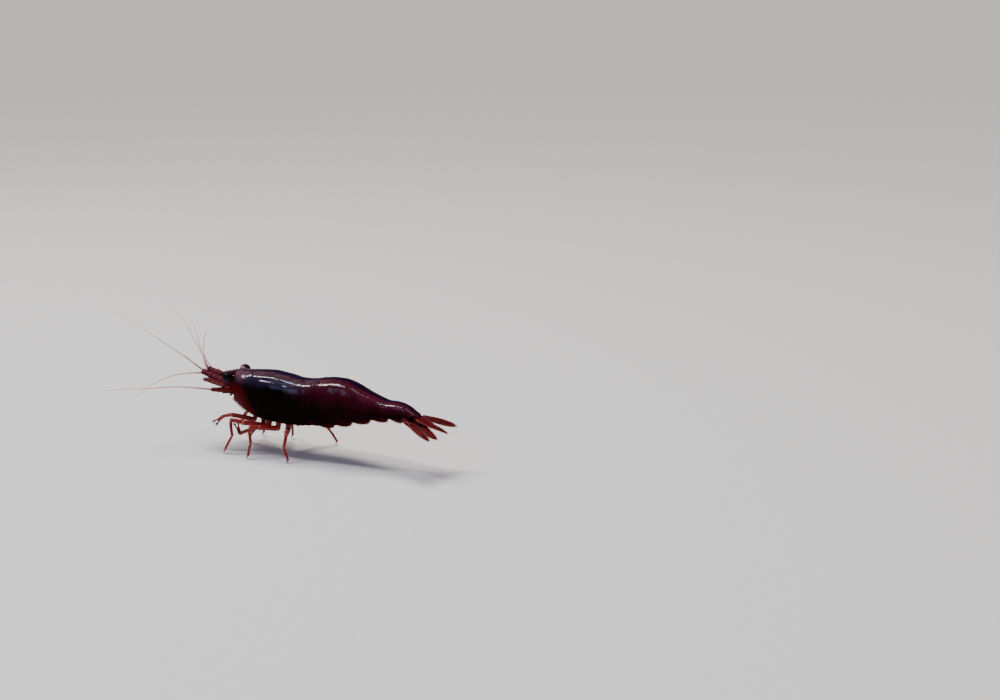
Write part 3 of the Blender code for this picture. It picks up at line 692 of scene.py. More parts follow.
def carapaceShell(look):
    # The body's skin from the face to the first tail plate, with an orbit behind each eye, a spine
    # under it, a rolled rear edge, and the shallow grooves over the gill chamber.
    t, around, lean = sheet(look)
    front, rear = cutLine(bodyLook["front"], lean), cutLine(bodyLook["cuts"][0], lean) + look["overhang"]
    notch = look["orbit"] * bell(lean, *look["orbitAt"]) + look["cornerRound"] * ease(lean, 0.80, 1.0) ** 2
    spine = np.clip(1.0 - np.abs(lean - look["spineAt"]) / look["spineWide"], 0.0, 1.0) ** 1.4
    x = front + (rear - front) * t + (notch - look["spine"] * spine) * (1.0 - t) ** 8
    points, inside = skin(x, around), axisPoint(x)
    gills = ease(x, -4.5, -3.1) * ease(x, 0.6, -1.2)
    neck = bell(x + 4.35 + 1.5 * lean, 0.0, 0.16) * ease(lean, 0.02, 0.12) * ease(lean, 0.62, 0.40)
    beads = bell(t, 0.985, 0.007) + bell(t, 0.010, 0.010) + bell(lean, 0.982, 0.010)
    amount = (look["flare"] * (ease(t, 0.95, 1.0) + ease(lean, 0.90, 1.0)) + look["bead"] * beads
              + look["bulge"] * bell(lean, *look["bulgeAt"]) * gills
              - look["groove"] * (bell(lean, *look["grooveAt"]) * gills + neck)
              + look["temple"] * bell(x, -5.55, 0.28) * bell(lean, 0.30, 0.07)
              + look["lumps"] * ripples(points, 1.35, 11) + look["dimples"] * ripples(points, 0.50, 12))
    return plate(raised(points, inside, amount), look["wall"], inside)


rostrumLook = {"rows": 320, "around": 24, "teeth": 15, "toothHeight": 0.085, "toothLean": 0.6,
               "lowerTeeth": 4, "lowerHeight": 0.06,
               # x, top, lower edge, half width
               "stations": ((-8.62, 1.50, 1.46, 0.012), (-8.30, 1.63, 1.40, 0.055),
                            (-7.70, 1.82, 1.41, 0.095), (-7.00, 2.00, 1.52, 0.130),
                            (-6.40, 2.15, 1.66, 0.150), (-5.60, 2.235, 1.93, 0.100),
                            (-4.70, 2.26, 2.10, 0.030))}


def rostrumBlade(look):
    # An upright blade that rises out of the back: lens-shaped rings, and saw teeth that lean forwards
    # on its upper and lower edges. Each tooth rises slowly and falls off steeply at its point.
    t = np.linspace(0.0, 1.0, look["rows"])[:, None]
    tipX, rootX = look["stations"][0][0], look["stations"][-1][0]
    x = rootX + (tipX - rootX) * t
    top, bottom, half = smoothTable(look["stations"], x)
    turn = np.arange(look["around"]) / look["around"] * fullTurn - math.pi / 2
    saw = np.mod(ease(t, -0.25, 1.1) * look["teeth"] * 1.12, 1.0) ** 1.5
    saw = saw * ease(t, 0.02, 0.2) * ease(t, 0.99, 0.9)
    lowerSaw = np.mod(t * look["lowerTeeth"] / 0.38, 1.0) ** 1.5 * ease(t, 0.60, 0.68) * ease(t, 0.98, 0.9)
    tooth = look["toothHeight"] * saw * ease(np.sin(turn), 0.72, 1.0)
    lowerTooth = look["lowerHeight"] * lowerSaw * ease(-np.sin(turn), 0.72, 1.0)
    rings = np.stack((x - look["toothLean"] * (tooth + lowerTooth),
                      half * np.cos(turn) * (1.0 - 0.35 * np.sin(turn) ** 2),
                      (top + bottom) / 2 + (top - bottom) / 2 * np.sin(turn) + tooth - lowerTooth), axis=-1)
    return capped(rings, t, 0.02, -0.03)


plateLook = {"rows": 72, "columns": 201, "wall": 0.036, "hidden": 0.36, "overlap": 0.13,
             "under": 0.075, "over": 0.010, "bead": 0.005, "hinge": 0.007, "lumps": 0.014, "dimples": 0.005,
             # how far the lower corners are rounded off, front and rear, for each plate
             "corners": ((0.07, 0.10), (0.15, 0.15), (0.08, 0.13), (0.08, 0.10), (0.08, 0.05))}


def abdomenPlate(look, number):
    # One tail plate: its front slides under the plate before and its rear edge lies over the next.
    # The sides of the second plate lie over both neighbours.
    t, around, lean = sheet(look)
    side = ease(lean, 0.40, 0.58)
    outside = side * (number == 2)
    front = cutLine(bodyLook["cuts"][number - 1], lean) - look["hidden"] * (1.0 - 0.55 * outside)
    rear = cutLine(bodyLook["cuts"][number], lean) + look["overlap"] * (1.0 + 0.5 * outside)
    x = front + (rear - front) * t
    corner = sum(size * np.clip(way * (1.0 - 2.0 * t), 0.0, 1.0) ** 3
                 for way, size in zip((1.0, -1.0), look["corners"][number - 1]))
    points, inside = skin(x, around * (1.0 - corner)), axisPoint(x)
    frontRise = -look["under"] * (1.0 - outside) + look["over"] * 1.4 * outside
    rearRise = look["over"] * (1.0 + 0.5 * outside)
    if number == 1:
        rearRise = rearRise * (1.0 - side) - look["under"] * 0.55 * side
    amount = (frontRise * ease(t, 0.25, 0.10) + rearRise * ease(t, 0.80, 1.0)
              + look["bead"] * (bell(t, 0.975, 0.012) + bell(lean, 0.978, 0.014))
              - look["hinge"] * bell(t, 0.33, 0.018) * ease(lean, 0.55, 0.35)
              + look["lumps"] * ripples(points, 1.3, 20) + look["dimples"] * ripples(points, 0.4, 30))
    return plate(raised(points, inside, amount), look["wall"], inside)


def closedBody(over, sag, underColumns):
    # Closed rings: an arch over the back, then a half ellipse underneath from its right foot to its left.
    turn = np.arange(1, underColumns + 1) / (underColumns + 1) * math.pi
    right, left = over[:, -1:], over[:, :1]
    under = (right + left) / 2 + (right - left) / 2 * np.cos(turn)[:, None]
    return np.concatenate((over, under - np.array(upwards) * (sag * np.sin(turn))[..., None]), axis=1)


tailLook = {"rows": 110, "columns": 121, "under": 30, "hidden": 0.30, "sag": 0.10, "lumps": 0.014,
            "tucked": 0.08, "rolled": 0.16, "ridge": 0.025}


def tailSegment(look):
    # The long sixth tail ring: closed all round, tucked under the fifth plate, and cut off aslant over
    # the root of the fan, where its rim is rolled in.
    t, around, lean = sheet(look)
    start, end = bodyLook["cuts"][5][0] - look["hidden"], cutLine(bodyLook["cuts"][6], lean)
    x = start + (end - start) * t
    shrink = (look["tucked"] * ease(t, 0.17, 0.03) + look["rolled"] * ease(t, 0.94, 1.0) ** 2
              - look["ridge"] * bell(t, 0.925, 0.03))
    over = skin(x, around, shrink, 0.02)
    over = over + unit(over - axisPoint(x)) * (look["lumps"] * ripples(over, 1.1, 41))[..., None]
    rings = closedBody(over, look["sag"] * ease(t, 1.0, 0.8), look["under"])
    # round a ring: 0 at the left foot of the arch, 0.5 on the back, 1 from the right foot on
    aroundAt = np.r_[np.linspace(0.0, 1.0, look["columns"]), np.ones(look["under"] + 1)]
    return capped(rings, t, 0.0, -0.10, aroundAt)


fleshLook = {"rows": 300, "columns": 121, "under": 60, "front": -7.10, "rear": 11.25, "gap": 0.15,
             # how much wider the gap is at the face and at the tail
             "gapAt": (-7.2, -6.4, -5.6, 10.3, 11.3), "gapMore": (0.22, 0.14, 0.0, 0.0, 0.16),
             # x, belly height over the shell's lower edge, half width underneath, sag of the belly
             "belly": ((-7.16, 0.10, 0.50, 0.10), (-6.50, 0.12, 0.62, 0.14), (-5.20, 0.06, 0.70, 0.16),
                       (-3.00, 0.02, 0.78, 0.16), (-0.60, 0.02, 0.80, 0.14), (0.60, 0.16, 0.86, 0.12),
                       (1.80, 0.42, 0.95, 0.10), (5.00, 0.42, 0.88, 0.10), (8.00, 0.32, 0.58, 0.08),
                       (9.60, 0.12, 0.50, 0.06), (11.40, 0.10, 0.42, 0.05))}


def fleshSkin(look):
    # The soft body in one skin from the face to the last ring. It fills the shell a little inside
    # the plates and closes the body below, with a fold between each pair of limbs.
    t, around, lean = sheet(look)
    x = look["front"] + (look["rear"] - look["front"]) * t
    top, bottom, half = bodySize(x)
    lift, lowerHalf, sag = smoothTable(look["belly"], x)
    gap = look["gap"] + np.interp(x, look["gapAt"], look["gapMore"])
    fold = (0.030 * np.cos(fullTurn * (x + 0.55) / 0.85) * ease(x, -5.4, -4.6) * ease(x, 0.6, -0.6)
            + 0.035 * np.cos(fullTurn * (x - 1.0) / 0.55) * ease(x, 1.0, 1.8) * ease(x, 9.4, 8.6))
    face = np.sqrt(np.clip(1.0 - (np.clip(-6.72 - x, 0.0, 0.40) / 0.40) ** 2, 0.04, 1.0))
    middle = (top - gap + bottom + lift) / 2
    wide = np.maximum(half - gap, 0.2) * face
    foot = np.minimum(lowerHalf, half - gap - 0.02) * face
    over = arch(x, around, middle + (top - gap - middle) * face, middle - (middle - bottom - lift) * face,
                wide, 1.0 - foot / wide)
    rings = closedBody(over, (sag + fold) * face, look["under"])
    return capped(rings, t, -0.02, 0.0)


makePiece("fleshSkin", [fleshSkin(fleshLook)], "undersideSkin", "thorax", "head")
makePiece("carapaceShell", [carapaceShell(carapaceLook)], "shell", "carapace")
makePiece("rostrumBlade", [rostrumBlade(rostrumLook)], "shell", "rostrum")
for number in range(1, 6):
    finish = "tailShell" if number == 5 else "shell"
    makePiece(f"abdomenPlate{number}", [abdomenPlate(plateLook, number)], finish, f"abdomen_{number}")
makePiece("tailSegment", [tailSegment(tailLook)], "tailShell", "abdomen_6")
print("body and shell plates made")


def mirrored(points, side):
    # millimetre places drawn with the distance out from the middle plane, set on either side
    return np.asarray(points, float) * (1.0, side, 1.0)


eyeShape = {"centreAndRoot": ((-6.72, 1.45, 1.76), (-6.94, 0.46, 1.40)), "radius": 0.46,
            "stretch": (1.14, 1.0, 0.96), "rows": 48, "around": 64, "dent": 0.06,
            "stalk": 0.20, "collar": 0.285, "facing": 0.94}


def eyeBall(look, side):
    # Rings about the line from the stalk's root to the eye's middle; a shallow dent behind makes it
    # kidney-shaped. flow runs from the stalk at 0 to the far pole at 1.
    centre, root = mirrored(look["centreAndRoot"], side)
    axis = unit(centre - root)
    across = unit(np.cross(axis, upwards))
    polar = np.linspace(0.0, math.pi, look["rows"] + 2)[1:-1, None, None]
    cosine, sine = circle(look["around"])
    out = across * cosine + np.cross(axis, across) * sine
    way = np.sin(polar) * out - axis * np.cos(polar) * look["facing"]
    size = look["radius"] * (1.0 - look["dent"] * bell(polar, 0.75, 0.40))
    reach = axis * look["radius"] * look["facing"] * look["stretch"]
    return closedRings(centre + way * size * look["stretch"], centre - reach, centre + reach,
                       polar.ravel() / math.pi)


def eyeStalk(look, side):
    # a tube from inside the head that widens to a collar round the eye
    centre, root = mirrored(look["centreAndRoot"], side)
    s = np.linspace(-0.25, 0.80, 26)
    size = look["stalk"] + (look["collar"] - look["stalk"]) * ease(s, 0.15, 0.62) + 0.03 * bell(s, 0.60, 0.05)
    return tube(root + (centre - root) * s[:, None], size, around=28)


for word, side in sides:
    makePiece(f"eye_{word}Cornea", [eyeBall(eyeShape, side)], "eyeCornea", f"eye_{word}")
    makePiece(f"eyestalk_{word}Skin", [eyeStalk(eyeShape, side)], "eyeStalk", f"eyestalk_{word}")
print("eyes made")


def planeUp(points):
    # the direction in which a limb's joints spread least, so that no article runs along it
    return np.linalg.svd(points - points.mean(axis=0))[2][-1]


def article(start, end, thick, up, high=1.0, neck=0.72, flare=0.07, taper=0.16, bow=0.0):
    # One piece of a jointed limb: a narrow neck that swells, thins slowly, and flares at its end.
    s = np.linspace(0.0, 1.0, 20)
    side = unit(np.cross(up, end - start))
    path = start + (end - start) * s[:, None] + side * (bow * np.sin(math.pi * s))[:, None]
    swell = (neck + (1.0 - neck) * ease(s, 0.0, 0.24)) * (1.0 - taper * s)
    size = thick * (swell + flare * bell(s, 0.95, 0.07))
    return tube(path, size, size * high, around=16, up=up, nose=0.55)


def chain(points, thicks, up, **shape):
    # Articles from joint to joint, each begun a little inside the one before.
    return [article(start - unit(end - start) * thick * 0.35, end, thick, up, **shape)
            for start, end, thick in zip(points[:-1], points[1:], thicks)]


def thorn(start, reach, thick, steps, around=6, capRings=1, **shape):
    # A small cone from a place along its reach; its radius falls evenly from one value of thick to the other.
    path = start + reach * np.linspace(0.0, 1.0, steps)[:, None]
    return tube(path, np.linspace(*thick, steps), around=around, capRings=capRings, **shape)


def hairsAlong(path, radius, count, length, thick, seed, forward, ways=None):
    # A row for bristles round a limb: roots drawn at even random along it, leaning forward by a share.
    # ways keeps them to one side.
    draw = np.random.default_rng(seed)
    at = draw.uniform(0.08, 0.96, count) * (len(path) - 1)
    low = at.astype(int)
    tangent = unit(np.gradient(path, axis=0))[low]
    base = path[low] + (path[np.minimum(low + 1, len(path) - 1)] - path[low]) * (at - low)[:, None]
    out = draw.normal(size=(count, 3))
    out = out if ways is None else out * 0.35 + ways
    out = unit(out - tangent * np.sum(out * tangent, axis=1, keepdims=True))
    size = np.interp(at / (len(path) - 1), np.linspace(0, 1, np.size(radius)), np.ravel(radius))[:, None]
    lengths = length * draw.uniform(0.6, 1.0, count)[:, None]
    return base + out * size * 0.9, out + tangent * forward, lengths, thick, (0.0, 0.0, 0.0)


headLook = {
    "antennule": ((-7.05, 0.46, 0.76), (-8.10, 0.50, 1.12), (-9.10, 0.48, 1.46), (-9.86, 0.44, 1.68)),
    "antennuleThick": (0.35, 0.31, 0.265),
    "spine": ((-7.30, 0.74, 0.90), (-7.80, 0.82, 1.08), (-8.32, 0.76, 1.24)),
    "antennaBase": ((-6.85, 0.82, 0.44), (-7.46, 1.10, 0.43), (-7.90, 1.26, 0.42), (-8.42, 1.36, 0.42)),
    "antennaThick": (0.36, 0.235, 0.205),
    "scale": ((-7.30, 1.24, 0.84), (-9.52, 1.12, 1.30)), "scaleWidth": 0.66, "scaleLean": (0.0, 0.9, -0.35),
}
# The feelers' threads: listed points that repeat the solids' routes.
threads = {
    "antennule_left_upper": ((-9.80, -0.46, 1.78), (-10.12, -0.50, 1.98), (-11.63, -0.60, 2.93),
                             (-13.26, -0.60, 3.76), (-16.66, -0.60, 5.42), (-18.98, -0.60, 6.55)),
    "antennule_left_lower": ((-9.82, -0.44, 1.56), (-10.30, -0.50, 1.52), (-11.32, -1.00, 1.50),
                             (-12.46, -1.60, 1.30), (-13.51, -2.20, 0.84), (-14.26, -2.70, 0.31),
                             (-15.50, -3.60, -0.72)),
    "antennule_right_upper": ((-9.80, 0.38, 1.78), (-9.98, 0.30, 2.06), (-10.30, 0.52, 2.72),
                              (-10.62, 0.90, 3.40), (-10.70, 1.20, 4.20), (-10.60, 1.50, 5.00)),
    "antennule_right_lower": ((-9.82, 0.50, 1.58), (-10.26, 0.68, 1.70), (-10.80, 1.05, 2.50),
                              (-11.35, 1.40, 3.40), (-11.80, 1.75, 4.40), (-12.30, 2.05, 5.40)),
    "antenna_left": ((-8.36, -1.36, 0.42), (-9.60, -1.85, 0.55), (-10.96, -2.50, 0.70), (-13.28, -4.00, 0.71),
                     (-14.98, -5.50, 0.85), (-16.09, -7.00, 1.01)),
    "antenna_right": ((-8.36, 1.36, 0.42), (-9.70, 1.62, 0.85), (-11.20, 2.10, 1.95), (-12.85, 3.00, 3.15),
                      (-14.36, 4.00, 4.50), (-16.21, 5.00, 5.46), (-18.03, 6.00, 6.38)),
}
threadLook = {"rows": 420, "around": 10, "antenna": 0.082, "antennule": 0.074, "tip": 0.020,
              "ring": 0.07, "rings": 78}


def thread(route, thick, look):
    # A ringed thread that thins to its tip: radius = tip + (thick - tip)(1 - s)^0.9, with small swellings.
    path = smoothRoute(route, look["rows"])
    s = np.linspace(0.0, 1.0, look["rows"])
    size = look["tip"] + (thick - look["tip"]) * (1.0 - s) ** 0.9
    size = size * (1.0 + look["ring"] * np.sin(s * look["rings"] * fullTurn))
    return tube(path, size, around=look["around"], up=(0.0, 1.0, 0.25), capRings=2), path, size


redHairs, darkHairs, fringes = [], [], []
for word, side in sides:
    joints = mirrored(headLook["antennule"], side)
    parts = chain(joints, headLook["antennuleThick"], crosswise, high=1.25, neck=0.80, taper=0.06)
    spike = smoothRoute(mirrored(headLook["spine"], side), 24)
    parts.append(tube(spike, np.linspace(0.10, 0.012, 24), up=crosswise))
    makePiece(f"antennule_{word}Base", parts, "feelerBase", f"antennule_{word}")
    for number, joint in enumerate(joints[1:]):
        ring = joint + np.linspace(-0.06, 0.02, 6)[:, None] * unit(joints[3] - joints[0])
        redHairs.append(hairsAlong(ring, 0.25, 26, 0.22, 0.007, 50 + number, 1.3))
    joints = mirrored(headLook["antennaBase"], side)
    parts = chain(joints, headLook["antennaThick"], upwards, flare=0.05, neck=0.85, taper=0.05)
    makePiece(f"antennaBase_{word}Stem", parts, "antennaBase", f"antenna_base_{word}")
for name, route in threads.items():
    surface, path, size = thread(route, threadLook[name.split("_")[0]], threadLook)
    makePiece(name + "Thread", [surface], "feelerThread", name)
    if name.endswith("upper"):
        reach = len(path) // 3
        redHairs.append(hairsAlong(path[:reach], size[:reach], 90, 0.20, 0.006, 60, 1.2))
print("feelers made")


def leaf(root, tip, across, width, low, high, wall, camber, rib=0.0, ribAt=0.0, rows=56, columns=37):
    # A thin blade from root to tip. low(s) and high(s) give its half breadths on either side, as shares
    # of width; the middle is arched by camber, and a rib runs along it at ribAt. Arch and wall shrink
    # with the breadth.
    forward = tip - root
    across = unit(across - forward * np.dot(across, forward) / np.dot(forward, forward))
    normal = np.cross(unit(forward), across)
    s = np.linspace(0.0, 1.0, rows)[:, None]
    c = np.linspace(-1.0, 1.0, columns)[None]
    breadth = np.where(c < 0.0, low(s), high(s)) * width
    share = np.sqrt((low(s) + high(s)) / np.max(low(s) + high(s)))
    height = camber * share**2 * (1.0 - c**2) + rib * bell(c - ribAt, 0.0, 0.07) * ease(s, 1.0, 0.6)
    middle = root + forward * s[..., None] + across * (c * breadth)[..., None] + normal * height[..., None]
    upper = middle + normal * wall / 2
    edges = {"middle": middle, "forward": unit(forward), "across": across, "normal": normal}
    wallAt = wall * (0.35 + 0.65 * np.sqrt(1.0 - 0.9 * c**2)) * (0.3 + 0.7 * share)
    return plate(upper, wallAt, upper - normal), edges


def spotOn(edges, s, c):
    # the point of a blade's grid at or just before s along it and c across it
    rows, columns = edges["middle"].shape[:2]
    return edges["middle"][int(s * (rows - 1)), int((c + 1) / 2 * (columns - 1))]


def fringe(edges, side, start, count, length, thick, seed, droop=0.0):
    # A row for bristles along one long border of a leaf, from start to its tip, turning towards the tip.
    draw = np.random.default_rng(seed)
    border = edges["middle"][:, 0 if side < 0 else -1]
    share = start + (1.0 - start) * (np.arange(count) + draw.uniform(0.2, 0.8, count)) / count
    at = share * (len(border) - 1)
    low = np.minimum(at.astype(int), len(border) - 2)
    step = border[low + 1] - border[low]
    out = unit(np.cross(unit(step), edges["normal"]) * -side)
    out = out * np.sign(np.sum(out * edges["across"], axis=1, keepdims=True) * side + 1e-9)
    lean = ease(share, 0.2, 1.0)[:, None]
    ways = (out * (1.0 - 0.45 * lean) + edges["forward"] * (0.7 + 0.6 * lean)
            + edges["normal"] * draw.normal(0.0, 0.10, (count, 1)))
    size = length * draw.uniform(0.75, 1.0, count) * ease(np.arange(count) / count, -0.25, 0.35)
    return (border[low] + step * (at - low)[:, None], ways, size[:, None], thick,
            edges["forward"] * 0.15 + edges["normal"] * droop)


def roundTip(s, spare, power):
    # 1 along the blade, falling to nearly nothing at its end as sqrt(1 + spare - s^power)
    return np.sqrt(np.minimum(1.0 + spare - s**power, 1.0))


def scaleHigh(s):
    # share of the width on the fringed side: a sine that swells to the middle, less a round shoulder
    return 0.34 + 0.30 * np.sin(math.pi * s**0.8) - 0.34 * ease(s, 0.72, 1.0)


def scaleLow(s):
    # share of the width on the stiff side: nearly straight, and cut in at the tip
    return 0.30 + 0.06 * ease(s, 0.0, 0.4) - 0.345 * ease(s, 0.84, 1.0) ** 1.5


for word, side in sides:
    # the stiff straight border is on the outer side, with a spine near its end, the fringed one on the inner
    root, tip = mirrored(headLook["scale"], side)
    across = np.array(headLook["scaleLean"]) * (-side, -side, -1.0)
    blade, edges = leaf(root, tip, across, headLook["scaleWidth"], scaleLow, scaleHigh, wall=0.055,
                        camber=0.05, rib=0.03, ribAt=-0.12)
    spineRoot = edges["middle"][46:50, 0].mean(axis=0) - edges["forward"] * 0.10
    spine = thorn(spineRoot, edges["forward"] * 0.36, (0.050, 0.008), 14, 8, 3)
    makePiece(f"antennalScale_{word}Blade", [blade, spine], "feelerScale", f"antennal_scale_{word}")
    fringes.append(fringe(edges, 1, 0.25, 90, 0.34, 0.0065, 71))

mouthLook = {
    # root, tip and breadth of each pair of mouth lobes, from the front backwards
    "lobes": (
        ((-6.70, 0.18, 0.30), (-7.02, 0.20, -0.02), 0.36),
        ((-6.30, 0.36, 0.10), (-6.70, 0.40, -0.36), 0.44),
        ((-5.90, 0.46, -0.20), (-6.30, 0.50, -0.74), 0.46),
        ((-5.50, 0.50, -0.55), (-5.88, 0.54, -1.08), 0.46),
        ((-5.05, 0.50, -0.95), (-5.42, 0.52, -1.42), 0.42)),
    "palps": (((-6.50, 0.42, 0.06), (-6.92, 0.60, 0.02), (-7.12, 0.54, -0.20)),
              ((-6.00, 0.50, -0.35), (-6.36, 0.60, -0.40), (-6.62, 0.56, -0.66))),
    "palpThick": (0.135, 0.105),
}


def mouthEdge(s):
    # half breadth of a mouth lobe: a swelling sine times a round tip
    return 0.5 * (0.45 + 0.55 * np.sin(math.pi * s**0.8)) * roundTip(s, 0.02, 5)


parts = []
for word, side in sides:
    for number, (root, tip, breadth) in enumerate(mouthLook["lobes"]):
        lobe, edges = leaf(mirrored(root, side), mirrored(tip, side), np.array((0.55, side * 0.55, -0.55)),
                           breadth, mouthEdge, mouthEdge, 0.13, -0.10 * side, rows=30, columns=25)
        parts.append(lobe)
        fringes += [fringe(edges, border, 0.35, 26, 0.20, 0.007, 80 + number) for border in (-1, 1)]
    for joints in mouthLook["palps"]:
        joints = mirrored(joints, side)
        parts += chain(joints, mouthLook["palpThick"], (0.0, 1.0, 0.1))
        redHairs.append(hairsAlong(joints[1:], 0.05, 40, 0.20, 0.006, 85, 1.4))
makePiece("mouthParts", parts, "undersideSkin")

legLook = {
    # radii of the articles from the body outwards, in millimetres
    "walking": (0.265, 0.255, 0.205, 0.150, 0.115), "clawed": (0.245, 0.225, 0.175, 0.160),
    "jaw": (0.200, 0.165, 0.135), "shape": {"high": 1.1, "neck": 0.70, "bow": 0.035},
    "clawRadius": 0.060, "clawTip": 0.014, "clawBend": 0.16,
    "palm": 0.56, "finger": 0.085, "fingerSpread": 0.085, "brush": 95, "brushLength": 0.34,
}
# x, distance out from the middle plane and z of each joint, from the body outwards: the joints that both
# legs of a pair share, then those of the left leg and those of the right one
legJoints = {
    "maxilliped": (((-5.05, 0.40, -1.62), (-5.60, 0.44, -1.32), (-6.25, 0.42, -0.92)),
                   ((-6.85, 0.38, -0.42),), ((-6.80, 0.38, -0.38),)),
    "leg_1": (((-4.50, 0.46, -1.84), (-4.70, 0.66, -2.16)),
              ((-6.55, 1.35, -1.72), (-7.35, 1.55, -1.90), (-8.14, 1.65, -2.55)),
              ((-6.35, 1.30, -1.95), (-7.00, 1.40, -2.60), (-7.35, 1.30, -3.35))),
    "leg_2": (((-3.80, 0.42, -2.04), (-3.90, 0.52, -2.62)),
              ((-4.95, 0.95, -3.05), (-5.95, 1.15, -3.45), (-6.35, 1.05, -2.55)),
              ((-4.90, 1.00, -3.00), (-5.70, 1.10, -3.55), (-6.20, 0.80, -4.20))),
    "leg_3": (((-3.05, 0.62, -2.14), (-3.15, 0.85, -2.55)),
              ((-5.20, 1.75, -2.15), (-6.25, 2.05, -1.95), (-5.98, 2.35, -3.30), (-6.62, 2.62, -4.56)),
              ((-5.00, 1.85, -2.10), (-5.85, 2.20, -2.05), (-5.65, 2.60, -3.40), (-6.00, 2.85, -4.60))),
    "leg_4": (((-2.15, 0.62, -2.20), (-2.20, 0.90, -2.62)),
              ((-3.40, 2.10, -2.30), (-4.05, 2.55, -2.25), (-3.75, 2.95, -3.50), (-3.95, 3.15, -4.60)),
              ((-3.00, 2.15, -2.30), (-3.50, 2.60, -2.25), (-3.05, 3.00, -3.50), (-3.15, 3.20, -4.60))),
    "leg_5": (((-1.25, 0.62, -2.22), (-1.20, 0.90, -2.62)),
              ((-0.75, 1.85, -2.45), (-0.60, 2.25, -2.60), (-0.62, 2.70, -3.60), (-0.10, 2.95, -4.60)),
              ((-0.30, 2.05, -2.35), (0.20, 2.45, -2.40), (0.85, 2.80, -3.50), (1.50, 3.00, -4.60))),
}


def footClaw(ankle, look):
    # The last article: a curved claw from the ankle down to the floor, with small spines on its inner side.
    foot = np.array((ankle[0] - 0.10, ankle[1], floorAt + look["clawTip"]))
    s = np.linspace(0.0, 1.0, 18)[:, None]
    path = ankle + (foot - ankle) * s - (look["clawBend"] * 0.5, 0.0, 0.0) * np.sin(math.pi * s)
    size = look["clawTip"] + (look["clawRadius"] - look["clawTip"]) * (1.0 - s[:, 0]) ** 0.7
    inner = np.array((0.10, 0.0, -0.055))
    return [tube(path, size, up=crosswise)] + [thorn(path[at], inner, (0.020, 0.004), 5, up=crosswise)
                                               for at in (5, 9, 13)]


def brushClaw(start, end, thick, up, look, seed):
    # A short claw: a swollen palm and two spoon fingers, each ending in a tuft of bristles.
    forward, apart = unit(end - start), unit(np.cross(up, end - start))
    palmEnd = start + (end - start) * look["palm"]
    parts = [article(start - forward * thick * 0.3, palmEnd, thick * 1.12, up, high=1.15, flare=0.06)]
    s = np.linspace(0.0, 1.0, 14)[:, None]
    for way in (-1, 1):
        path = palmEnd + apart * way * thick * 0.42 + (end - palmEnd) * (s - 0.15)
        path = path + apart * way * look["fingerSpread"] * np.sin(math.pi * 0.62 * s)
        size = look["finger"] * (1.0 - 0.45 * s[:, 0])
        parts.append(tube(path, size, size * 1.25, up=up))
        draw, count = np.random.default_rng(seed + way), look["brush"]
        ways = forward + apart * way * 0.25 + draw.normal(0.0, 0.30, (count, 3))
        roots = path[-1] + draw.normal(0.0, 0.035, (count, 3)) - forward * draw.uniform(0, 0.16, (count, 1))
        lengths = look["brushLength"] * draw.uniform(0.6, 1.0, count)[:, None]
        darkHairs.append((roots, ways, lengths, 0.009, (0.0, 0.0, 0.0)))
    return parts


for pair, (limb, (shared, *outer)) in enumerate(legJoints.items()):
    for number, (word, side), own in zip((2 * pair, 2 * pair + 1), sides, outer):
        joints = mirrored(shared + own, side)
        joints[0] += (0.0, -side * 0.02, 0.34)
        up = planeUp(joints)
        if limb == "maxilliped":
            parts = chain(joints, legLook["jaw"], up)
            path = smoothRoute(joints, 40)
            below = unit(np.array((-0.45, side * 0.5, -0.75)))
            redHairs += [hairsAlong(path[8:], 0.12, 170, 0.26, 0.007, 90 + number, 0.5, below),
                         hairsAlong(path[30:], 0.12, 60, 0.30, 0.007, 95 + number, 1.6)]
        elif limb in ("leg_1", "leg_2"):
            parts = chain(joints[:-1], legLook["clawed"], up, **legLook["shape"])
            parts += brushClaw(joints[-2], joints[-1], legLook["clawed"][-1], up, legLook, 110 + 4 * number)
            redHairs.append(hairsAlong(joints[1:], 0.12, 40, 0.14, 0.006, 120 + number, 1.2))
        else:
            parts = chain(joints, legLook["walking"], up, **legLook["shape"]) + footClaw(joints[-1], legLook)
            redHairs.append(hairsAlong(joints[1:4], 0.15, 30, 0.12, 0.007, 130 + number, 1.2))
            darkHairs.append(hairsAlong(joints[4:], 0.10, 26, 0.13, 0.010, 140 + number, 1.1))
        makePiece(f"{limb}_{word}Articles", parts, "legShell", f"{limb}_{word}")
makePiece("clawBrushes", [bristles(darkHairs)], "brushBristles")
print("legs made")

paddleLook = {
    # x, distance out, breadth and length of each pair
    "rows": ((1.35, 0.44, 0.70, 1.30), (3.05, 0.44, 0.70, 1.30), (4.80, 0.42, 0.66, 1.30),
             (6.60, 0.33, 0.50, 1.20), (8.30, 0.22, 0.34, 1.00)),
    "rise": -0.02, "drop": 0.24, "hair": 0.28, "reach": 1.50, "hang": 0.80,
    # the stem's radius, and for both its articles the share of it at no breadth and what breadth adds
    "stem": 0.15, "stemShares": ((0.55, 0.65), (0.45, 0.55)),
    # outer and inner branch: shift outwards, share of the breadth, rise of the tip, share of the length
    "branches": ((0.16, 0.78, -0.05, 1.0), (-0.16, 0.66, 0.04, 0.93)),
}


def paddleEdge(s):
    # half breadth of a paddle: a swelling sine times a blunt round tip
    return 0.5 * (0.60 + 0.40 * np.sin(math.pi * s**1.15)) * roundTip(s, 0.01, 9)


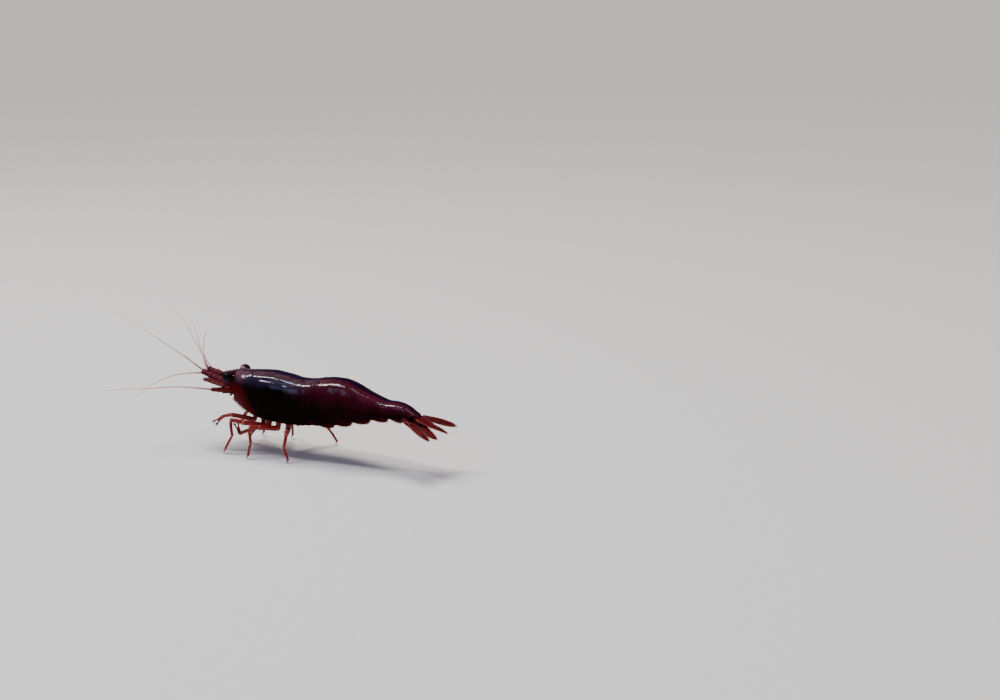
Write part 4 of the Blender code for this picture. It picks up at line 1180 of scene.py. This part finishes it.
for number, (x, out, breadth, length) in enumerate(paddleLook["rows"], start=1):
    tipX = x + length * paddleLook["reach"]
    for word, side in sides:
        y = swing(x) + side * out
        root = np.array((x, y, bodySize(x)[1] + paddleLook["rise"]))
        tip = np.array((tipX, y, bodySize(tipX)[1] - paddleLook["drop"]))
        stem = root + np.array(((-0.10, -side * 0.05, 0.42), (0.02, 0.0, 0.06), (tip - root) * 0.22))
        thicks = [paddleLook["stem"] * (least + more * breadth) for least, more in paddleLook["stemShares"]]
        parts = chain(stem, thicks, crosswise, high=1.1)
        for branch, (shift, share, rise, reach) in enumerate(paddleLook["branches"]):
            start = root + (tip - root) * 0.14 + (0.0, side * shift * breadth, 0.0)
            end = start + (tip + (0.0, side * shift * breadth * 2.4, rise) - start) * reach
            blade, edges = leaf(start, end, np.array((0.0, 1.0, paddleLook["hang"] * -side)), breadth * share,
                                paddleEdge, paddleEdge, 0.045, -0.05, 0.02, rows=40, columns=25)
            parts.append(blade)
            seed = 200 + 10 * number + branch
            fringes += [fringe(edges, border, 0.20, 60, paddleLook["hair"], 0.0065, seed, 0.05)
                        for border in (-1, 1)]
        makePiece(f"swimmeret_{number}_{word}Paddles", parts, "paddle", f"swimmeret_{number}_{word}")
print("swimmerets made")

fanLook = {
    # turns are in degrees about X, Y and Z in that order
    "hub": (11.62, -0.70, -0.28), "turn": (0.0, 21.0, -10.0),
    # root and tip as forward, out and down from the hub, then the width
    "telson": ((-0.66, 0.0, -0.02), (1.56, 0.0, 0.0), 1.56),
    # blades: root, tip, then for the inner and the outer border its breadth, where along the blade it is
    # broadest and the share of it at the root, and how far the outer border is raised
    "left": {
        "base": ((-1.30, 0.56, 0.44), (-0.92, 0.70, 0.52), (-0.44, 0.88, 0.48)),
        "inner": ((-0.80, 0.60, 0.40), (2.32, 0.86, 0.24), (0.50, 0.42, 0.90), (0.30, 0.62, 0.50), -0.50),
        "outer": ((-0.56, 0.98, 0.47), (2.14, 1.86, 0.18), (0.35, 0.56, 0.50), (0.29, 0.62, 0.50), -0.10)},
    "right": {
        "base": ((-1.30, 0.56, 0.42), (-0.92, 0.70, 0.46), (-0.44, 0.88, 0.38)),
        "inner": ((-0.52, 0.62, 0.40), (2.24, 0.90, 0.33), (0.33, 0.46, 0.80), (0.36, 0.64, 0.70), 0.0),
        "outer": ((-0.56, 0.98, 0.32), (2.28, 1.88, -0.12), (0.28, 0.66, 0.70), (0.44, 0.64, 0.65), 0.40)},
    "baseThick": (0.33, 0.31), "wall": 0.085, "hair": 0.20, "rows": 70, "spikesAt": 0.975,
    "seamRow": 50, "seamRise": 0.045,
}


fanTurn = np.array(mathutils.Euler([math.radians(angle) for angle in fanLook["turn"]]).to_matrix())
across, fanUp = fanTurn[:, 1], fanTurn[:, 2]


def fanPlace(places, side=1.0):
    # places as forward, out and down from the hub, turned with the fan
    return np.array(fanLook["hub"]) + np.array(places) * (1.0, side, -1.0) @ fanTurn.T


def telsonEdge(s):
    # half breadth of the telson: narrow at the hinge, then tapering to a blunt round end
    return 0.5 * (1.0 - 0.64 * s**1.1) * (0.56 + 0.44 * ease(s, 0.0, 0.32)) * roundTip(s, 0.004, 12)


def lobeEdge(s, breadth, widest, root):
    # half breadth: breadth (root (1 - s) + (1 - root / 2) sin(0.86 pi s^p)), with p such that the sine
    # peaks at widest, and a round tip
    power = math.log(0.5 / 0.86) / math.log(widest)
    swell = root * (1.0 - s) + (1.0 - root / 2) * np.sin(0.86 * math.pi * s**power)
    return breadth * np.maximum(swell, 0.05) * roundTip(s, 0.004, 14)


root, tip = fanPlace(fanLook["telson"][:2])
blade, edges = leaf(root, tip, across, fanLook["telson"][2], telsonEdge, telsonEdge, 0.16, 0.15, 0.03,
                    rows=fanLook["rows"])
parts = [blade]
up = edges["normal"] * np.sign(edges["normal"][2])
for s in (0.40, 0.52, 0.64, 0.76, 0.88):
    for c in (-0.62, 0.62):
        way = edges["forward"] * 0.14 + up * 0.03
        parts.append(thorn(spotOn(edges, s, c) + up * 0.05, way, (0.018, 0.003), 6))
for c in np.linspace(-0.9, 0.9, 8):
    way = (edges["forward"] + across * c * 0.25) * (0.22 - 0.10 * abs(c))
    parts.append(thorn(spotOn(edges, fanLook["spikesAt"], c), way, (0.015, 0.003), 7))
makePiece("telsonPlate", parts, "tailBlade", "telson")

for word, side in sides:
    places = fanLook[word]
    base = chain(fanPlace(places["base"], side), fanLook["baseThick"], fanUp, high=0.85, flare=0.05, neck=0.8)
    makePiece(f"uropod_{word}Stem", base, "tailBlade", f"uropod_{word}_base")
    for lobe, bareTo in (("inner", 0.40), ("outer", 0.72)):
        root, tip = fanPlace(places[lobe][:2], side)
        inner, outer, lean = places[lobe][2:]
        blade, edges = leaf(root, tip, across * side + fanUp * lean, 1.0, lambda s: lobeEdge(s, *inner),
                            lambda s: lobeEdge(s, *outer), fanLook["wall"], 0.05 * side, 0.045 * side,
                            rows=fanLook["rows"])
        parts = [blade]
        if lobe == "outer":
            # a cross seam with a comb of small spines, and a spine on the stiff outer border
            seam = edges["middle"][fanLook["seamRow"]]
            comb = seam + edges["normal"] * side * fanLook["seamRise"]
            parts.append(tube(comb[5:-3], 0.014, around=8, up=edges["normal"]))
            parts += [thorn(spot, edges["forward"] * 0.09, (0.012, 0.003), 5) for spot in comb[7:-3:2]]
            way = edges["forward"] + edges["across"] * 0.12
            parts.append(thorn(seam[-1] - way * 0.05, way * 0.21, (0.026, 0.004), 7, 8))
        for border, start in ((-1, 0.30), (1, bareTo)):
            fringes.append(fringe(edges, border, start, 90, fanLook["hair"], 0.0065, 300 + len(fringes)))
        makePiece(f"uropod_{word}_{lobe}Blade", parts, "tailBlade", f"uropod_{word}_{lobe}")
makePiece("redFringes", [bristles(fringes)], "redBristles")
makePiece("redSetae", [bristles(redHairs)], "redBristles")
print("tail fan and fringes made")

stageLook = {
    "floor": (0.62, 0.60, 0.56), "shaded": 0.93, "size": 12.0, "world": ((0.90, 0.92, 0.95), 0.22),
    # places, sizes and aims in millimetres of the frame
    "camera": (59.848, -98.922, 39.995), "tilt": -15.077, "turn": 21.434, "lens": 49.0,
    "aim": (0, 0, 5), "sun": ((-40, 60, 220), 3.4, 24.0, (1.0, 0.98, 0.96)),
    "lamps": {"overheadStrip": ((-108, -11, 183), (72, 28), 0.28, (1.0, 0.95, 0.97)),
              "coolPatch": ((-42, -12, 190), (36, 26), 0.065, (0.62, 0.78, 1.0)),
              "tailStrip": ((60, 10, 185), (100, 50), 0.050, (0.90, 0.82, 1.0)),
              "coolSide": ((-72, -190, 170), (100, 170), 0.200, (0.42, 0.52, 1.0))},
}


def studioFloor(look):
    # a wide flat square under the animal, with a very faint mottle
    half = look["size"] / 2
    mesh = bpy.data.meshes.new("studioFloor")
    corners = [(x * half, y * half, 0.0) for x, y in ((-1, -1), (1, -1), (1, 1), (-1, 1))]
    mesh.from_pydata(corners, [], [(0, 1, 2, 3)])
    material = bpy.data.materials.new("studioFloor")
    material.use_nodes = True
    tree = material.node_tree
    sockets = tree.nodes["Principled BSDF"].inputs
    sockets["Roughness"].default_value = 0.75
    at = addNode(tree, "TexCoord")["Object"]
    mottle = addNode(tree, "TexNoise", {"Vector": at, "Scale": 900.0, "Detail": 4.0})
    shaded = tuple(channel * look["shaded"] for channel in look["floor"])
    feed(sockets["Base Color"], layer(look["floor"], (shaded, 1.0), mottle["Fac"]))
    mesh.materials.append(material)
    floor = addObject("studioFloor", mesh)


def lamp(kind, name, at, aim, energy, colour, **settings):
    # a light at a place, turned so that it shines at its aim with its width along X
    light = bpy.data.lights.new(name, kind)
    light.energy, light.color = energy, colour
    for key, value in settings.items():
        setattr(light, key, value)
    away = unit(np.array(at, float) - aim)
    side = unit(np.array((1.0, 0.0, 0.0)) - away * away[0])
    stand = np.eye(4)
    stand[:3] = np.column_stack((side, np.cross(away, side), away, np.array(at) * mm))
    made = addObject(name, light)
    made.matrix_world = mathutils.Matrix(stand)
    return made


studioFloor(stageLook)
for name, (at, size, power, colour) in stageLook["lamps"].items():
    lamp("AREA", name, at, stageLook["aim"], power, colour, shape="RECTANGLE",
         size=size[0] * mm, size_y=size[1] * mm)
at, strength, spread, colour = stageLook["sun"]
# it lights the shell, but doesn't show in its gloss
lamp("SUN", "roomLight", at, (0, 0, 0), strength, colour, angle=math.radians(spread)).visible_glossy = False
world = bpy.data.worlds.new("studio")
world.use_nodes = True
background = world.node_tree.nodes["Background"].inputs
for socket, value in zip(("Color", "Strength"), stageLook["world"]):
    feed(background[socket], value)
bpy.context.scene.world = world

view = bpy.data.cameras.new("studioView")
view.lens = stageLook["lens"]
view.clip_start = 0.5 * mm
camera = addObject("studioView", view)
camera.location = [value * mm for value in stageLook["camera"]]
camera.rotation_euler = (math.radians(90.0 + stageLook["tilt"]), 0.0, math.radians(stageLook["turn"]))
bpy.context.scene.camera = camera
print("floor, lights and camera set")
